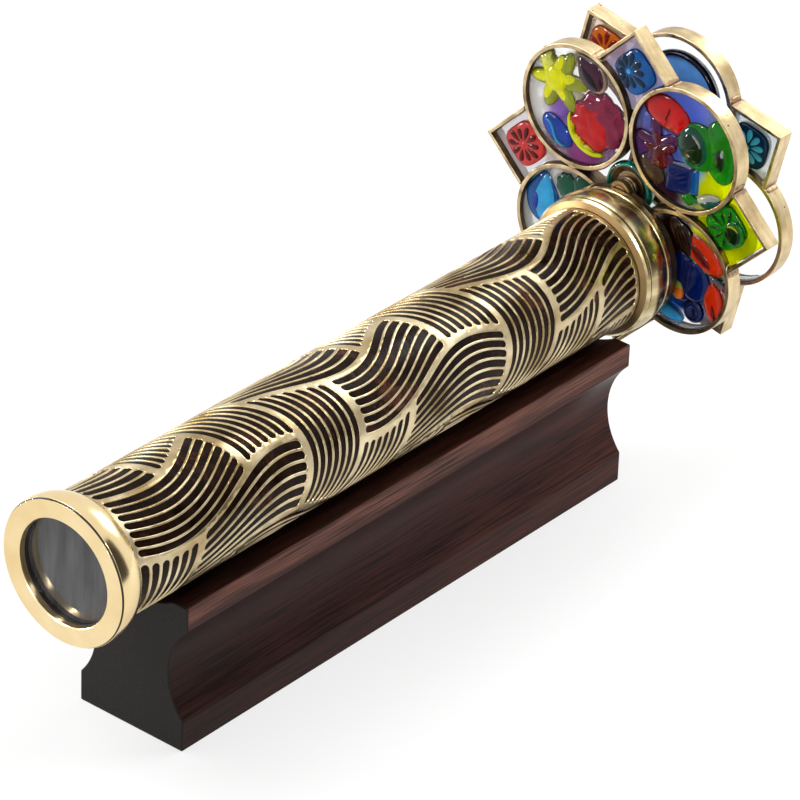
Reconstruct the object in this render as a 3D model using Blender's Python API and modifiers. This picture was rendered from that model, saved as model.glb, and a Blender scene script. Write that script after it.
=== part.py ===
"""A brass kaleidoscope with two turning gem wheels, lying in a wooden stand.

The origin is under the middle of the stand, on the surface that it stands on. +Z is up, +Y runs
along the tube from the eyepiece to the wheels, and +X is to the right seen from the eyepiece.
"""

import math

import bmesh
import bpy
from mathutils import Matrix, Vector

MM = 0.001

# Fits shared by every piece
SEAT_GAP = 0.3 * MM  # between pieces that touch, or that solder or cement joins
LAYER_GAP = 0.1 * MM  # between the concentric layers of the tube
RUNNING_CLEARANCE = 0.25 * MM  # between the axle and what turns on it
CUT_OVERRUN = 1.0 * MM  # by which a cutter passes the surface that it opens
WELD_DISTANCE = 0.005 * MM  # under which points of one piece are the same point

# Stand
STAND_LENGTH = 200.6 * MM
STAND_HEIGHT = 49.1 * MM
PLINTH_WIDTH = 39.4 * MM
PLINTH_HEIGHT = 10.0 * MM
FLANGE_WIDTH = 42.4 * MM
FLANGE_HEIGHT = 7.6 * MM
COVE_DEPTH = 6.3 * MM
GROOVE_WIDTH = 30.8 * MM
GROOVE_EASE = 10.0 * MM  # by which the groove's radius passes the tube's
STAND_EDGE = 0.6 * MM

# Tube, from the outside in
SLEEVE_RADIUS = 20.0 * MM
SLEEVE_WALL = 0.8 * MM
INLAY_WALL = 0.9 * MM
BARREL_WALL = 1.0 * MM
WRAP_WALL = 0.8 * MM
SLEEVE_FRONT_OVERHANG = 19.1 * MM  # past the front end of the stand
SLEEVE_BACK_OVERHANG = 4.3 * MM  # past the back end of the stand

# Openwork of the sleeve: bundles of slots run along and round the tube by turns, over a grid
FRET_COLUMNS = 6  # squares of the grid round the tube
FRET_ROWS = 10  # and along it
BUNDLE_SLOTS = 2
SLOT_WIDTH_SHARE = 0.29  # of a square
SLOT_END_SHARE = 0.13  # of a square, left solid past each end of a slot
SWAY_SHARE = 0.31  # of a square, by which the bundles wander
SWAY_RATES = (1.7, 1.5)  # radians a square, of the wander round the tube and along it
SWAY_STARTS = (0.4, 2.0)  # radians

# Eyepiece
EYEPIECE_LENGTH = 9.1 * MM
EYEPIECE_FACE_STEP = 2.2 * MM  # the front face's edge, outside the sleeve
EYEPIECE_BACK_STEP = 1.0 * MM  # the back edge, outside the sleeve
EYEPIECE_CROWN = 1.1 * MM  # rise of the band over a straight cone
EYEPIECE_WALL = 2.6 * MM
APERTURE_LIP = 1.5 * MM  # cover over the window's edge
APERTURE_BEVEL = 0.7 * MM
WINDOW_THICKNESS = 1.5 * MM

# Mirrors
MIRROR_THICKNESS = 2.0 * MM
MIRROR_SETBACK = 2.0 * MM  # from the barrel's ends

# Cap at the wheel end
CAP_LENGTH = 13.4 * MM
CAP_FACE_STEP = 2.2 * MM  # outer edge of the front face, outside the sleeve
CAP_FACE_SLOPE = 1.0 * MM
CAP_BEAD_STEP = 2.8 * MM
CAP_BEAD_LENGTH = 1.8 * MM
CAP_GROOVE_DEPTH = 0.5 * MM
CAP_GROOVE_WIDTH = 0.5 * MM
CAP_BAND_STEP = 2.7 * MM
CAP_BAND_CROWN = 0.5 * MM
CAP_LIP_STEP = 2.6 * MM
CAP_LIP_LENGTH = 2.7 * MM

# End plate and axle
PLATE_THICKNESS = 2.0 * MM
PLATE_INSET = 0.4 * MM  # inside the cap's lip
PLATE_HOLE_LIP = 2.6 * MM  # cover over the end window's edge
AXLE_INSET = 1.4 * MM  # axle centre, inside the cap's lip
AXLE_RADIUS = 1.5 * MM
AXLE_HEAD_RADIUS = 2.3 * MM
AXLE_HEAD_LENGTH = 1.0 * MM
EAR_RADIUS = 3.8 * MM
SPACER_RADIUS = 3.6 * MM
WASHER_THICKNESS = 0.8 * MM
NUT_RADIUS = 3.5 * MM  # across its corners
NUT_LENGTH = 3.2 * MM
NUT_DOME = 2.4 * MM
NUT_BORE_DEPTH = 3.6 * MM

# Wheels
WHEEL_STANDOFF = 2.8 * MM  # front of the near wheel, behind the cap
WHEEL_PITCH = 14.7 * MM
CELL_RADIUS = 20.6 * MM
CELL_DEPTH = 5.8 * MM
CELL_WALL = 1.4 * MM
SOLDER_GAP = 0.4 * MM  # between neighbouring frames
LENS_THICKNESS = 3.0 * MM
DIAMOND_SIDE = 17.5 * MM
DIAMOND_WALL = 1.2 * MM
TILE_THICKNESS = 3.0 * MM
TILE_TIP = 1.5 * MM  # width of a tile's inner end, between two rings
TILE_ARC_STEPS = 4
GLASS_RECESS = 2.5 * MM  # of the resin and the tiles, behind the frames' front edges
CHARM_HEIGHT = 0.65 * MM  # of the charms above the resin
HUB_BUSH_RADIUS = 5.2 * MM
HUB_FRONT_SINK = 2.4 * MM  # bush front, behind the frames' front
HUB_BACK_STAND = 0.6 * MM  # bush back, behind the frames' back
HUB_GLASS_THICKNESS = 3.6 * MM
HUB_GLASS_CROWN = 1.2 * MM
FAR_TURN = math.radians(32.3)  # of the far wheel against the near one

# Facets round a circle, and the angle over which an edge stays crisp
TUBE_SIDES = 32
LAYER_SIDES = 24  # of the sleeve, the resin, the barrel and the card in it
CELL_SIDES = 30
SMALL_SIDES = 20
CHARM_SIDES = 9
CHARM_RINGS = 4
CREASE_ANGLE = math.radians(30)
FLAT_ANGLE = math.radians(1)

# Charms on each cell's resin: kind, then the shares of the lens radius that give its place
# across and up, its half width and half height, and its turn in degrees
CHARM_SHARES = {
    "near_lens_upper_left": (
        ("star", -0.45, 0.35, 0.36, 0.36, 10),
        ("cabochon", 0.27, 0.68, 0.15, 0.24, 35),
        ("cabochon", 0.42, -0.10, 0.36, 0.42, 20),
        ("cabochon", -0.43, -0.50, 0.10, 0.28, -35),
        ("cabochon", 0.02, -0.70, 0.30, 0.10, 20),
    ),
    "near_lens_upper_right": (
        ("cabochon", -0.35, 0.56, 0.38, 0.26, 18),
        ("star", -0.58, -0.08, 0.30, 0.34, 0),
        ("flower", 0.40, 0.26, 0.34, 0.34, 0),
        ("diamond", -0.12, -0.52, 0.36, 0.36, 40),
        ("cabochon", 0.60, -0.50, 0.20, 0.16, -30),
    ),
    "near_lens_lower_right": (
        ("cabochon", -0.10, 0.66, 0.30, 0.22, 0),
        ("cabochon", 0.52, 0.50, 0.30, 0.18, 40),
        ("cabochon", 0.74, -0.22, 0.14, 0.28, 10),
        ("flower", 0.16, -0.10, 0.36, 0.36, 0),
        ("cabochon", -0.12, -0.70, 0.32, 0.18, 0),
    ),
    "near_lens_lower_left": (
        ("cabochon", -0.58, 0.36, 0.22, 0.36, 0),
        ("cabochon", -0.10, 0.64, 0.18, 0.18, 0),
        ("cabochon", 0.34, 0.62, 0.18, 0.18, 0),
        ("star", 0.30, -0.10, 0.32, 0.32, 0),
        ("cabochon", -0.20, -0.58, 0.34, 0.20, 0),
    ),
    "far_lens_top": (("cabochon", 0.0, 0.0, 0.76, 0.76, 0),),
    "far_lens_left": (
        ("star", -0.25, 0.30, 0.36, 0.36, 0),
        ("cabochon", 0.40, -0.20, 0.30, 0.22, 30),
    ),
    "far_lens_bottom": (
        ("flower", 0.10, 0.10, 0.36, 0.36, 0),
        ("cabochon", -0.30, -0.50, 0.26, 0.20, 0),
    ),
    "far_lens_right": (("cabochon", -0.50, 0.40, 0.22, 0.22, 0),),
}
FLOWER_SHARE = 0.44  # half width of a tile's flower, against the tile's side

# Points round a charm, and the shares of its half width that its hollows and its top keep
CHARM_OUTLINE_SHARES = {
    "star": (10, 0.50, 0.40),
    "flower": (16, 0.74, 0.45),
    "diamond": (4, 1.00, 0.50),
}

# Colour, roughness, metallic value and transmission of each material
FINISHES = {
    "polished_brass": ((0.80, 0.58, 0.26), 0.18, 1.0, 0.0),
    "antique_brass": ((0.62, 0.45, 0.22), 0.38, 1.0, 0.0),
    "dark_resin": ((0.035, 0.015, 0.010), 0.12, 0.0, 0.0),
    "dark_wood": ((0.055, 0.022, 0.016), 0.40, 0.0, 0.0),
    "clear_glass": ((0.90, 0.93, 0.93), 0.03, 0.0, 0.9),
    "clear_resin": ((0.88, 0.88, 0.90), 0.05, 0.0, 0.7),
    "mirror_glass": ((0.85, 0.87, 0.88), 0.02, 1.0, 0.0),
    "packing_card": ((0.05, 0.05, 0.05), 0.80, 0.0, 0.0),
    "teal_glass": ((0.02, 0.32, 0.28), 0.08, 0.0, 0.5),
    "red_glass": ((0.75, 0.03, 0.04), 0.08, 0.0, 0.4),
    "blue_glass": ((0.03, 0.12, 0.65), 0.08, 0.0, 0.4),
    "green_glass": ((0.04, 0.40, 0.05), 0.08, 0.0, 0.4),
    "orange_glass": ((0.85, 0.22, 0.03), 0.08, 0.0, 0.4),
    "cyan_glass": ((0.03, 0.40, 0.60), 0.08, 0.0, 0.4),
}

# Places worked out from the sizes above
SLEEVE_FRONT = -STAND_LENGTH / 2 - SLEEVE_FRONT_OVERHANG
SLEEVE_BACK = STAND_LENGTH / 2 + SLEEVE_BACK_OVERHANG
SLEEVE_LENGTH = SLEEVE_BACK - SLEEVE_FRONT
GIRTH = 2 * math.pi * SLEEVE_RADIUS
INLAY_RADIUS = SLEEVE_RADIUS - SLEEVE_WALL - LAYER_GAP
BARREL_RADIUS = INLAY_RADIUS - INLAY_WALL - LAYER_GAP
BARREL_BORE = BARREL_RADIUS - BARREL_WALL
SOCKET_RADIUS = BARREL_RADIUS + SEAT_GAP
EYEPIECE_BACK = SLEEVE_FRONT - SEAT_GAP
EYEPIECE_FRONT = EYEPIECE_BACK - EYEPIECE_LENGTH
EYE_WINDOW_FRONT = EYEPIECE_FRONT + EYEPIECE_WALL + SEAT_GAP
BARREL_FRONT = EYE_WINDOW_FRONT + WINDOW_THICKNESS + SEAT_GAP
CAP_FRONT = SLEEVE_BACK + SEAT_GAP
CAP_BACK = CAP_FRONT + CAP_LENGTH
CAP_LIP_RADIUS = SLEEVE_RADIUS + CAP_LIP_STEP
BARREL_BACK = CAP_BACK - WINDOW_THICKNESS - SEAT_GAP
PLATE_FRONT = CAP_BACK + SEAT_GAP
PLATE_BACK = PLATE_FRONT + PLATE_THICKNESS
GROOVE_RADIUS = SLEEVE_RADIUS + GROOVE_EASE
GROOVE_DEPTH = GROOVE_RADIUS - math.sqrt(GROOVE_RADIUS**2 - (GROOVE_WIDTH / 2) ** 2)
TUBE_HEIGHT = STAND_HEIGHT - GROOVE_DEPTH + SEAT_GAP + SLEEVE_RADIUS
AXLE_RISE = CAP_LIP_RADIUS - AXLE_INSET
AXLE_BORE = AXLE_RADIUS + RUNNING_CLEARANCE
NEAR_FRONT = CAP_BACK + WHEEL_STANDOFF
FAR_FRONT = NEAR_FRONT + WHEEL_PITCH
HUB_LENGTH = CELL_DEPTH - HUB_FRONT_SINK + HUB_BACK_STAND
CELL_CIRCLE = math.sqrt(2) * (CELL_RADIUS + SOLDER_GAP / 2)
CELL_BORE = CELL_RADIUS - CELL_WALL
LENS_RADIUS = CELL_BORE - SEAT_GAP
DIAMOND_CIRCLE = math.sqrt(2) * (CELL_RADIUS + SOLDER_GAP + DIAMOND_SIDE / 2)
TILE_SIDE = DIAMOND_SIDE - 2 * DIAMOND_WALL - 2 * SEAT_GAP
RING_INWARD = DIAMOND_CIRCLE - CELL_CIRCLE / math.sqrt(2)  # from a diamond's middle to its rings
RING_ASIDE = CELL_CIRCLE / math.sqrt(2)

for old in list(bpy.data.objects):
    bpy.data.objects.remove(old, do_unlink=True)

PARTS = bpy.data.collections.new("kaleidoscope")
CUTTERS = bpy.data.collections.new("cutters")
for group in (PARTS, CUTTERS):
    bpy.context.scene.collection.children.link(group)


def material(name):
    """The named finish, made the first time that it is asked for."""
    if name in bpy.data.materials:
        return bpy.data.materials[name]
    colour, roughness, metallic, transmission = FINISHES[name]
    finish = bpy.data.materials.new(name)
    finish.use_nodes = True
    shader = finish.node_tree.nodes["Principled BSDF"]
    shader.inputs["Base Color"].default_value = (*colour, 1.0)
    shader.inputs["Roughness"].default_value = roughness
    shader.inputs["Metallic"].default_value = metallic
    shader.inputs["Transmission Weight"].default_value = transmission
    finish.diffuse_color = (*colour, 1.0)
    return finish


def guide_line(name, location, parent=None):
    """An empty on a centre line, which carries the pieces that share it."""
    guide = bpy.data.objects.new(name, None)
    guide.location = location
    guide.parent = parent
    PARTS.objects.link(guide)
    return guide


def place(mesh, finish, parent=None, location=(0, 0, 0), turn=0.0, group=PARTS):
    """Puts a mesh in the scene as a piece of the same name, turned from +X towards +Z."""
    piece = bpy.data.objects.new(mesh.name, mesh)
    piece.parent = parent
    piece.location = location
    piece.rotation_euler = (0, -turn, 0)
    mesh.materials.append(material(finish))
    group.objects.link(piece)
    if group is CUTTERS:
        piece.hide_render = True
        piece.display_type = "WIRE"
    return piece


def mesh_of(name, shape):
    mesh = bpy.data.meshes.new(name)
    shape.to_mesh(mesh)
    shape.free()
    return mesh


def turned(name, outline, finish, sides, parent, location=(0, 0, 0), group=PARTS):
    """A turned piece. Its outline gives radius and place along Y, and on the outside runs from the
    wheel end to the eyepiece end. It is a closed loop, unless it starts on the centre line."""
    solid = outline[0][0] == 0
    edges = [(i, i + 1) for i in range(len(outline) - 1)]
    if not solid:
        edges.append((len(outline) - 1, 0))
    mesh = bpy.data.meshes.new(name)
    mesh.from_pydata([(radius, along, 0) for radius, along in outline], edges, [])
    piece = place(mesh, finish, parent, location, group=group)
    lathe = piece.modifiers.new("lathe", "SCREW")
    lathe.axis = "Y"
    lathe.steps = lathe.render_steps = sides
    lathe.use_merge_vertices = True
    lathe.merge_threshold = WELD_DISTANCE
    return piece


def tube_outline(outer, inner, front, back):
    return [(outer, back), (outer, front), (inner, front), (inner, back)]


def disc_outline(radius, front, back):
    return [(0, back), (radius, back), (radius, front), (0, front)]


def crowned(start, end, rise, steps):
    """Points from start to end along an arc that rises over the straight line between them."""
    chord = Vector(end) - Vector(start)
    half = chord.length / 2
    radius = (half**2 + rise**2) / (2 * rise)
    outward = Vector((-chord.y, chord.x)).normalized()
    centre = (Vector(start) + Vector(end)) / 2 - outward * (radius - rise)
    sweep = 2 * math.asin(half / radius)
    arm = Vector(start) - centre
    return [tuple(centre + Matrix.Rotation(-sweep * i / steps, 2) @ arm) for i in range(steps + 1)]


def rod(name, radius, length, sides):
    """A prism along Y, from its own origin towards +Y, with a corner at +X."""
    shape = bmesh.new()
    bmesh.ops.create_cone(shape, cap_ends=True, segments=sides, radius1=radius, radius2=radius, depth=length)
    bmesh.ops.translate(shape, verts=shape.verts, vec=(0, 0, length / 2))
    bmesh.ops.rotate(shape, verts=shape.verts, matrix=Matrix.Rotation(-math.pi / 2, 3, "X"))
    return mesh_of(name, shape)


def flat_plate(name, outlines, thickness):
    """A plate cut from the XZ plane, centred on its thickness. Outlines inside another are holes."""
    flat = bpy.data.curves.new(name, "CURVE")
    flat.dimensions = "2D"
    flat.fill_mode = "BOTH"
    flat.extrude = thickness / 2
    for outline in outlines:
        spline = flat.splines.new("POLY")
        spline.points.add(len(outline) - 1)
        for point, (x, z) in zip(spline.points, outline):
            point.co = (x, z, 0, 1)
        spline.use_cyclic_u = True
    guide = bpy.data.objects.new(name, flat)
    CUTTERS.objects.link(guide)
    graph = bpy.context.evaluated_depsgraph_get()
    filled = bpy.data.meshes.new_from_object(guide.evaluated_get(graph))
    bpy.data.objects.remove(guide, do_unlink=True)
    shape = bmesh.new()
    shape.from_mesh(filled)
    bpy.data.meshes.remove(filled)
    bmesh.ops.remove_doubles(shape, verts=shape.verts, dist=WELD_DISTANCE)
    bmesh.ops.rotate(shape, verts=shape.verts, matrix=Matrix.Rotation(math.pi / 2, 3, "X"))
    return mesh_of(name, shape)


def combine(piece, other, operation):
    """Joins another object to a piece, or cuts it out."""
    step = piece.modifiers.new(operation.lower(), "BOOLEAN")
    step.operation = operation
    step.object = other
    step.solver = "EXACT"


def settle(piece):
    """Applies a piece's modifiers and shades it smooth between its crisp edges."""
    graph = bpy.context.evaluated_depsgraph_get()
    mesh = bpy.data.meshes.new_from_object(piece.evaluated_get(graph))
    piece.modifiers.clear()
    piece.data = mesh
    mesh.name = piece.name
    mesh.shade_smooth()
    mesh.set_sharp_from_angle(angle=CREASE_ANGLE)


def make_stand():
    """A moulded hardwood block: plinth, cove, flange and a groove that cradles the tube."""
    foot = (PLINTH_WIDTH / 2, 0)
    plinth = (PLINTH_WIDTH / 2, PLINTH_HEIGHT)
    flange = (FLANGE_WIDTH / 2, STAND_HEIGHT - FLANGE_HEIGHT)
    top = (FLANGE_WIDTH / 2, STAND_HEIGHT)
    right = [foot, *crowned(plinth, flange, COVE_DEPTH, 12), top]
    left = [(-x, z) for x, z in reversed(right)]
    brink = (GROOVE_WIDTH / 2, STAND_HEIGHT)
    groove = crowned(brink, (-brink[0], STAND_HEIGHT), GROOVE_DEPTH, 14)
    mesh = flat_plate("stand_block", [right + groove + left], STAND_LENGTH)
    stand = place(mesh, "dark_wood")
    ease = stand.modifiers.new("eased_edges", "BEVEL")
    ease.width = STAND_EDGE
    ease.segments = 1
    ease.limit_method = "ANGLE"
    ease.angle_limit = math.radians(35)


def on_sheet(across, along):
    """Where a point of the grid lies on the sleeve's flat sheet, whose four edges stay straight."""
    x, y = 2 * across / FRET_COLUMNS - 1, 2 * along / FRET_ROWS - 1
    across += SWAY_SHARE * (1 - x**4) * math.sin(SWAY_RATES[0] * along + SWAY_STARTS[0])
    along += SWAY_SHARE * (1 - y**6) * math.sin(SWAY_RATES[1] * across + SWAY_STARTS[1])
    return (across / FRET_COLUMNS - 1 / 2) * GIRTH, (along / FRET_ROWS - 1 / 2) * SLEEVE_LENGTH


def fret_outlines():
    """The sheet's edge and its slots, in bundles two squares long that are laid like herringbone."""
    corners = ((0, 0), (FRET_COLUMNS, 0), (FRET_COLUMNS, FRET_ROWS), (0, FRET_ROWS))
    outlines = [[on_sheet(*corner) for corner in corners]]
    for column in range(FRET_COLUMNS):
        for row in range(FRET_ROWS):
            part = (column - row) % 4
            runs_round = part == 0 or (part == 1 and column == 0)
            runs_along = part == 3 or (part == 2 and row == 0)
            if not runs_round and not runs_along:
                continue
            room = FRET_COLUMNS - column if runs_round else FRET_ROWS - row
            length = min(room, 2 if part in (0, 3) else 1)
            start, stop = SLOT_END_SHARE, length - SLOT_END_SHARE
            half = SLOT_WIDTH_SHARE / 2
            steps = length + 1
            side = [(start + half + (stop - start - 2 * half) * k / steps, half) for k in range(steps + 1)]
            slot = [(start, 0), *side, (stop, 0), *[(s, -t) for s, t in reversed(side)]]
            for number in range(BUNDLE_SLOTS):
                middle = (number + 1 / 2) / BUNDLE_SLOTS
                places = [(s, middle + t) if runs_round else (middle + t, s) for s, t in slot]
                outlines.append([on_sheet(column + s, row + t) for s, t in places])
    return outlines


def rolled(sheet):
    """Rolls a flat sheet from the XZ plane round the tube's line, creased where its facets meet."""
    shape = bmesh.new()
    shape.from_mesh(sheet)
    for k in range(1, LAYER_SIDES):
        crease = ((k / LAYER_SIDES - 1 / 2) * GIRTH, 0, 0)
        whole = shape.verts[:] + shape.edges[:] + shape.faces[:]
        cut = bmesh.ops.bisect_plane(shape, geom=whole, dist=WELD_DISTANCE, plane_co=crease, plane_no=(1, 0, 0))
        for edge in cut["geom_cut"]:
            if isinstance(edge, bmesh.types.BMEdge):
                edge.seam = True
    bmesh.ops.dissolve_limit(
        shape, angle_limit=FLAT_ANGLE, verts=shape.verts, edges=shape.edges, delimit={"SEAM"}
    )
    seam_at = GIRTH / 2 - WELD_DISTANCE
    seam = [face for face in shape.faces if all(abs(vert.co.x) > seam_at for vert in face.verts)]
    bmesh.ops.delete(shape, geom=seam, context="FACES_ONLY")
    for vert in shape.verts:
        radius, angle = SLEEVE_RADIUS - SLEEVE_WALL / 2 + vert.co.y, vert.co.x / SLEEVE_RADIUS
        along = (SLEEVE_FRONT + SLEEVE_BACK) / 2 + vert.co.z
        vert.co = (radius * math.sin(angle), along, radius * math.cos(angle))
    bmesh.ops.remove_doubles(shape, verts=shape.verts, dist=WELD_DISTANCE)
    bmesh.ops.recalc_face_normals(shape, faces=shape.faces)
    for edge in shape.edges:
        edge.seam = False
    shape.to_mesh(sheet)
    shape.free()
    return sheet


def make_tube(scope):
    """The brass barrel, the dark resin over it, and the brass fretwork sleeve that the resin fills."""
    inlay_bore = BARREL_RADIUS + LAYER_GAP
    barrel = tube_outline(BARREL_RADIUS, BARREL_BORE, BARREL_FRONT, BARREL_BACK)
    turned("barrel_tube", barrel, "antique_brass", LAYER_SIDES, scope)
    inlay = tube_outline(INLAY_RADIUS, inlay_bore, SLEEVE_FRONT, SLEEVE_BACK)
    turned("resin_inlay", inlay, "dark_resin", LAYER_SIDES, scope)
    place(rolled(flat_plate("fret_sleeve", fret_outlines(), SLEEVE_WALL)), "polished_brass", scope)


def make_eyepiece(scope):
    """A turned brass ring with a flat face and a crowned band, and the glass behind its lip."""
    face = SLEEVE_RADIUS + EYEPIECE_FACE_STEP
    back = SLEEVE_RADIUS + EYEPIECE_BACK_STEP
    aperture = BARREL_RADIUS - APERTURE_LIP
    shoulder = EYEPIECE_FRONT + EYEPIECE_WALL
    outline = crowned((back, EYEPIECE_BACK), (face, EYEPIECE_FRONT), EYEPIECE_CROWN, 6)
    outline += [
        (aperture + APERTURE_BEVEL, EYEPIECE_FRONT),
        (aperture, EYEPIECE_FRONT + APERTURE_BEVEL),
        (aperture, shoulder),
        (SOCKET_RADIUS, shoulder),
        (SOCKET_RADIUS, EYEPIECE_BACK),
    ]
    turned("eyepiece_ring", outline, "polished_brass", TUBE_SIDES, scope)
    window = disc_outline(BARREL_RADIUS, EYE_WINDOW_FRONT, EYE_WINDOW_FRONT + WINDOW_THICKNESS)
    turned("eyepiece_window", window, "clear_glass", TUBE_SIDES, scope)


def make_mirrors(scope):
    """Three mirror strips set as an equilateral prism, in a card wrap that fits the barrel."""
    wrap_outer = BARREL_BORE - SEAT_GAP
    wrap_inner = wrap_outer - WRAP_WALL
    front = BARREL_FRONT + MIRROR_SETBACK
    back = BARREL_BACK - MIRROR_SETBACK
    wrap = tube_outline(wrap_outer, wrap_inner, front, back)
    turned("mirror_wrap", wrap, "packing_card", LAYER_SIDES, scope)
    corner_reach = wrap_inner - SEAT_GAP
    inner = (math.sqrt(4 * corner_reach**2 - 3 * MIRROR_THICKNESS**2) - MIRROR_THICKNESS) / 4
    width = 2 * math.sqrt(3) * inner - SEAT_GAP
    for number in range(3):
        shape = bmesh.new()
        bmesh.ops.create_cube(shape, size=1.0)
        bmesh.ops.scale(shape, verts=shape.verts, vec=(width, back - front, MIRROR_THICKNESS))
        middle = (0, (front + back) / 2, -inner - MIRROR_THICKNESS / 2)
        bmesh.ops.translate(shape, verts=shape.verts, vec=middle)
        strip = mesh_of(f"mirror_strip_{number + 1}", shape)
        place(strip, "mirror_glass", scope, turn=number * 2 * math.pi / 3)


def make_end_cap(scope):
    """The stepped brass ring at the wheel end, the glass in it, and the plate whose ear holds the axle."""
    face = SLEEVE_RADIUS + CAP_FACE_STEP
    bead = SLEEVE_RADIUS + CAP_BEAD_STEP
    band = SLEEVE_RADIUS + CAP_BAND_STEP
    groove = band - CAP_GROOVE_DEPTH
    bead_front = CAP_FRONT + CAP_FACE_SLOPE
    bead_back = bead_front + CAP_BEAD_LENGTH
    band_front = bead_back + CAP_GROOVE_WIDTH
    lip_front = CAP_BACK - CAP_LIP_LENGTH
    band_back = lip_front - CAP_GROOVE_WIDTH
    outline = [
        (CAP_LIP_RADIUS, CAP_BACK),
        (CAP_LIP_RADIUS, lip_front),
        (groove, lip_front - CAP_GROOVE_WIDTH / 2),
        *crowned((band, band_back), (band, band_front), CAP_BAND_CROWN, 4),
        (groove, bead_back + CAP_GROOVE_WIDTH / 2),
        (bead, bead_back),
        (bead, (bead_front + bead_back) / 2),
        (face, bead_front),
        (SLEEVE_RADIUS, CAP_FRONT),
        (SOCKET_RADIUS, CAP_FRONT),
        (SOCKET_RADIUS, CAP_BACK),
    ]
    turned("end_cap_ring", outline, "polished_brass", TUBE_SIDES, scope)
    window = disc_outline(BARREL_RADIUS, CAP_BACK - WINDOW_THICKNESS, CAP_BACK)
    turned("end_window", window, "clear_glass", TUBE_SIDES, scope)
    rim = CAP_LIP_RADIUS - PLATE_INSET
    hole = BARREL_RADIUS - PLATE_HOLE_LIP
    disc = tube_outline(rim, hole, PLATE_FRONT, PLATE_BACK)
    plate = turned("end_plate", disc, "antique_brass", TUBE_SIDES, scope)
    seat_back = PLATE_FRONT + AXLE_HEAD_LENGTH + SEAT_GAP
    for name, operation, radius, start, end in (
        ("ear", "UNION", EAR_RADIUS, PLATE_FRONT, PLATE_BACK),
        ("head_seat", "DIFFERENCE", AXLE_HEAD_RADIUS + SEAT_GAP, PLATE_FRONT - CUT_OVERRUN, seat_back),
        ("axle_hole", "DIFFERENCE", AXLE_RADIUS + SEAT_GAP, PLATE_FRONT, PLATE_BACK + CUT_OVERRUN),
    ):
        mesh = rod(name, radius, end - start, SMALL_SIDES)
        combine(plate, place(mesh, "antique_brass", scope, (0, start, AXLE_RISE), group=CUTTERS), operation)


def make_axle(axle):
    """The fixed axle with its spacers, washer and domed nut."""
    near_hub = NEAR_FRONT + HUB_FRONT_SINK
    far_hub = FAR_FRONT + HUB_FRONT_SINK
    washer = far_hub + HUB_LENGTH + SEAT_GAP
    nut = washer + WASHER_THICKNESS + SEAT_GAP
    axle_end = nut + NUT_BORE_DEPTH - SEAT_GAP
    head_back = PLATE_FRONT + AXLE_HEAD_LENGTH
    pin = [
        (0, axle_end),
        (AXLE_RADIUS, axle_end),
        (AXLE_RADIUS, head_back),
        (AXLE_HEAD_RADIUS, head_back),
        (AXLE_HEAD_RADIUS, PLATE_FRONT),
        (0, PLATE_FRONT),
    ]
    turned("axle_pin", pin, "antique_brass", SMALL_SIDES, axle)
    for name, front, back in (
        ("front_spacer", PLATE_BACK + SEAT_GAP, near_hub - SEAT_GAP),
        ("wheel_spacer", near_hub + HUB_LENGTH + SEAT_GAP, far_hub - SEAT_GAP),
        ("end_washer", washer, washer + WASHER_THICKNESS),
    ):
        collar = tube_outline(SPACER_RADIUS, AXLE_BORE, front, back)
        turned(name, collar, "antique_brass", SMALL_SIDES, axle)
    end_nut = place(rod("end_nut", NUT_RADIUS, NUT_LENGTH, 6), "polished_brass", axle, (0, nut, 0))
    dome_radius = NUT_RADIUS * math.cos(math.pi / 6) - SEAT_GAP
    dome_foot = nut + NUT_LENGTH
    steps = 4
    dome = [(0, dome_foot + NUT_DOME)]
    for i in range(1, steps + 1):
        angle = math.pi / 2 * i / steps
        dome.append((dome_radius * math.sin(angle), dome_foot + NUT_DOME * math.cos(angle)))
    dome += [(dome_radius, nut + NUT_LENGTH / 2), (0, nut + NUT_LENGTH / 2)]
    combine(end_nut, turned("nut_dome", dome, "polished_brass", SMALL_SIDES, axle, group=CUTTERS), "UNION")
    bore = rod("nut_bore", AXLE_BORE, NUT_BORE_DEPTH + CUT_OVERRUN, SMALL_SIDES)
    drill = place(bore, "polished_brass", axle, (0, nut - CUT_OVERRUN, 0), group=CUTTERS)
    combine(end_nut, drill, "DIFFERENCE")


def charm(name, kind, half_width, half_height):
    """A charm half sunk in its cell, in the XZ plane, which rises towards the eyepiece."""
    shape = bmesh.new()
    if kind == "cabochon":
        bmesh.ops.create_uvsphere(shape, u_segments=CHARM_SIDES, v_segments=CHARM_RINGS, radius=1)
    else:
        points, hollow_share, top_share = CHARM_OUTLINE_SHARES[kind]
        bmesh.ops.create_cone(shape, cap_ends=True, segments=points, radius1=1, radius2=top_share, depth=2)
        for vert in shape.verts:
            corner = round(math.atan2(vert.co.x, vert.co.y) * points / (2 * math.pi))
            if corner % 2:
                vert.co.x *= hollow_share
                vert.co.y *= hollow_share
    bmesh.ops.scale(shape, verts=shape.verts, vec=(half_width, half_height, CHARM_HEIGHT))
    bmesh.ops.rotate(shape, verts=shape.verts, matrix=Matrix.Rotation(math.pi / 2, 3, "X"))
    return mesh_of(name, shape)


def set_charm(piece, name, kind, centre, front, half_width, half_height, turn):
    """Fuses a charm to the front of a cell's resin or of a tile."""
    x, z = centre
    mesh = charm(name, kind, half_width, half_height)
    combine(piece, place(mesh, "clear_glass", piece.parent, (x, front, z), turn, CUTTERS), "UNION")


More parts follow.
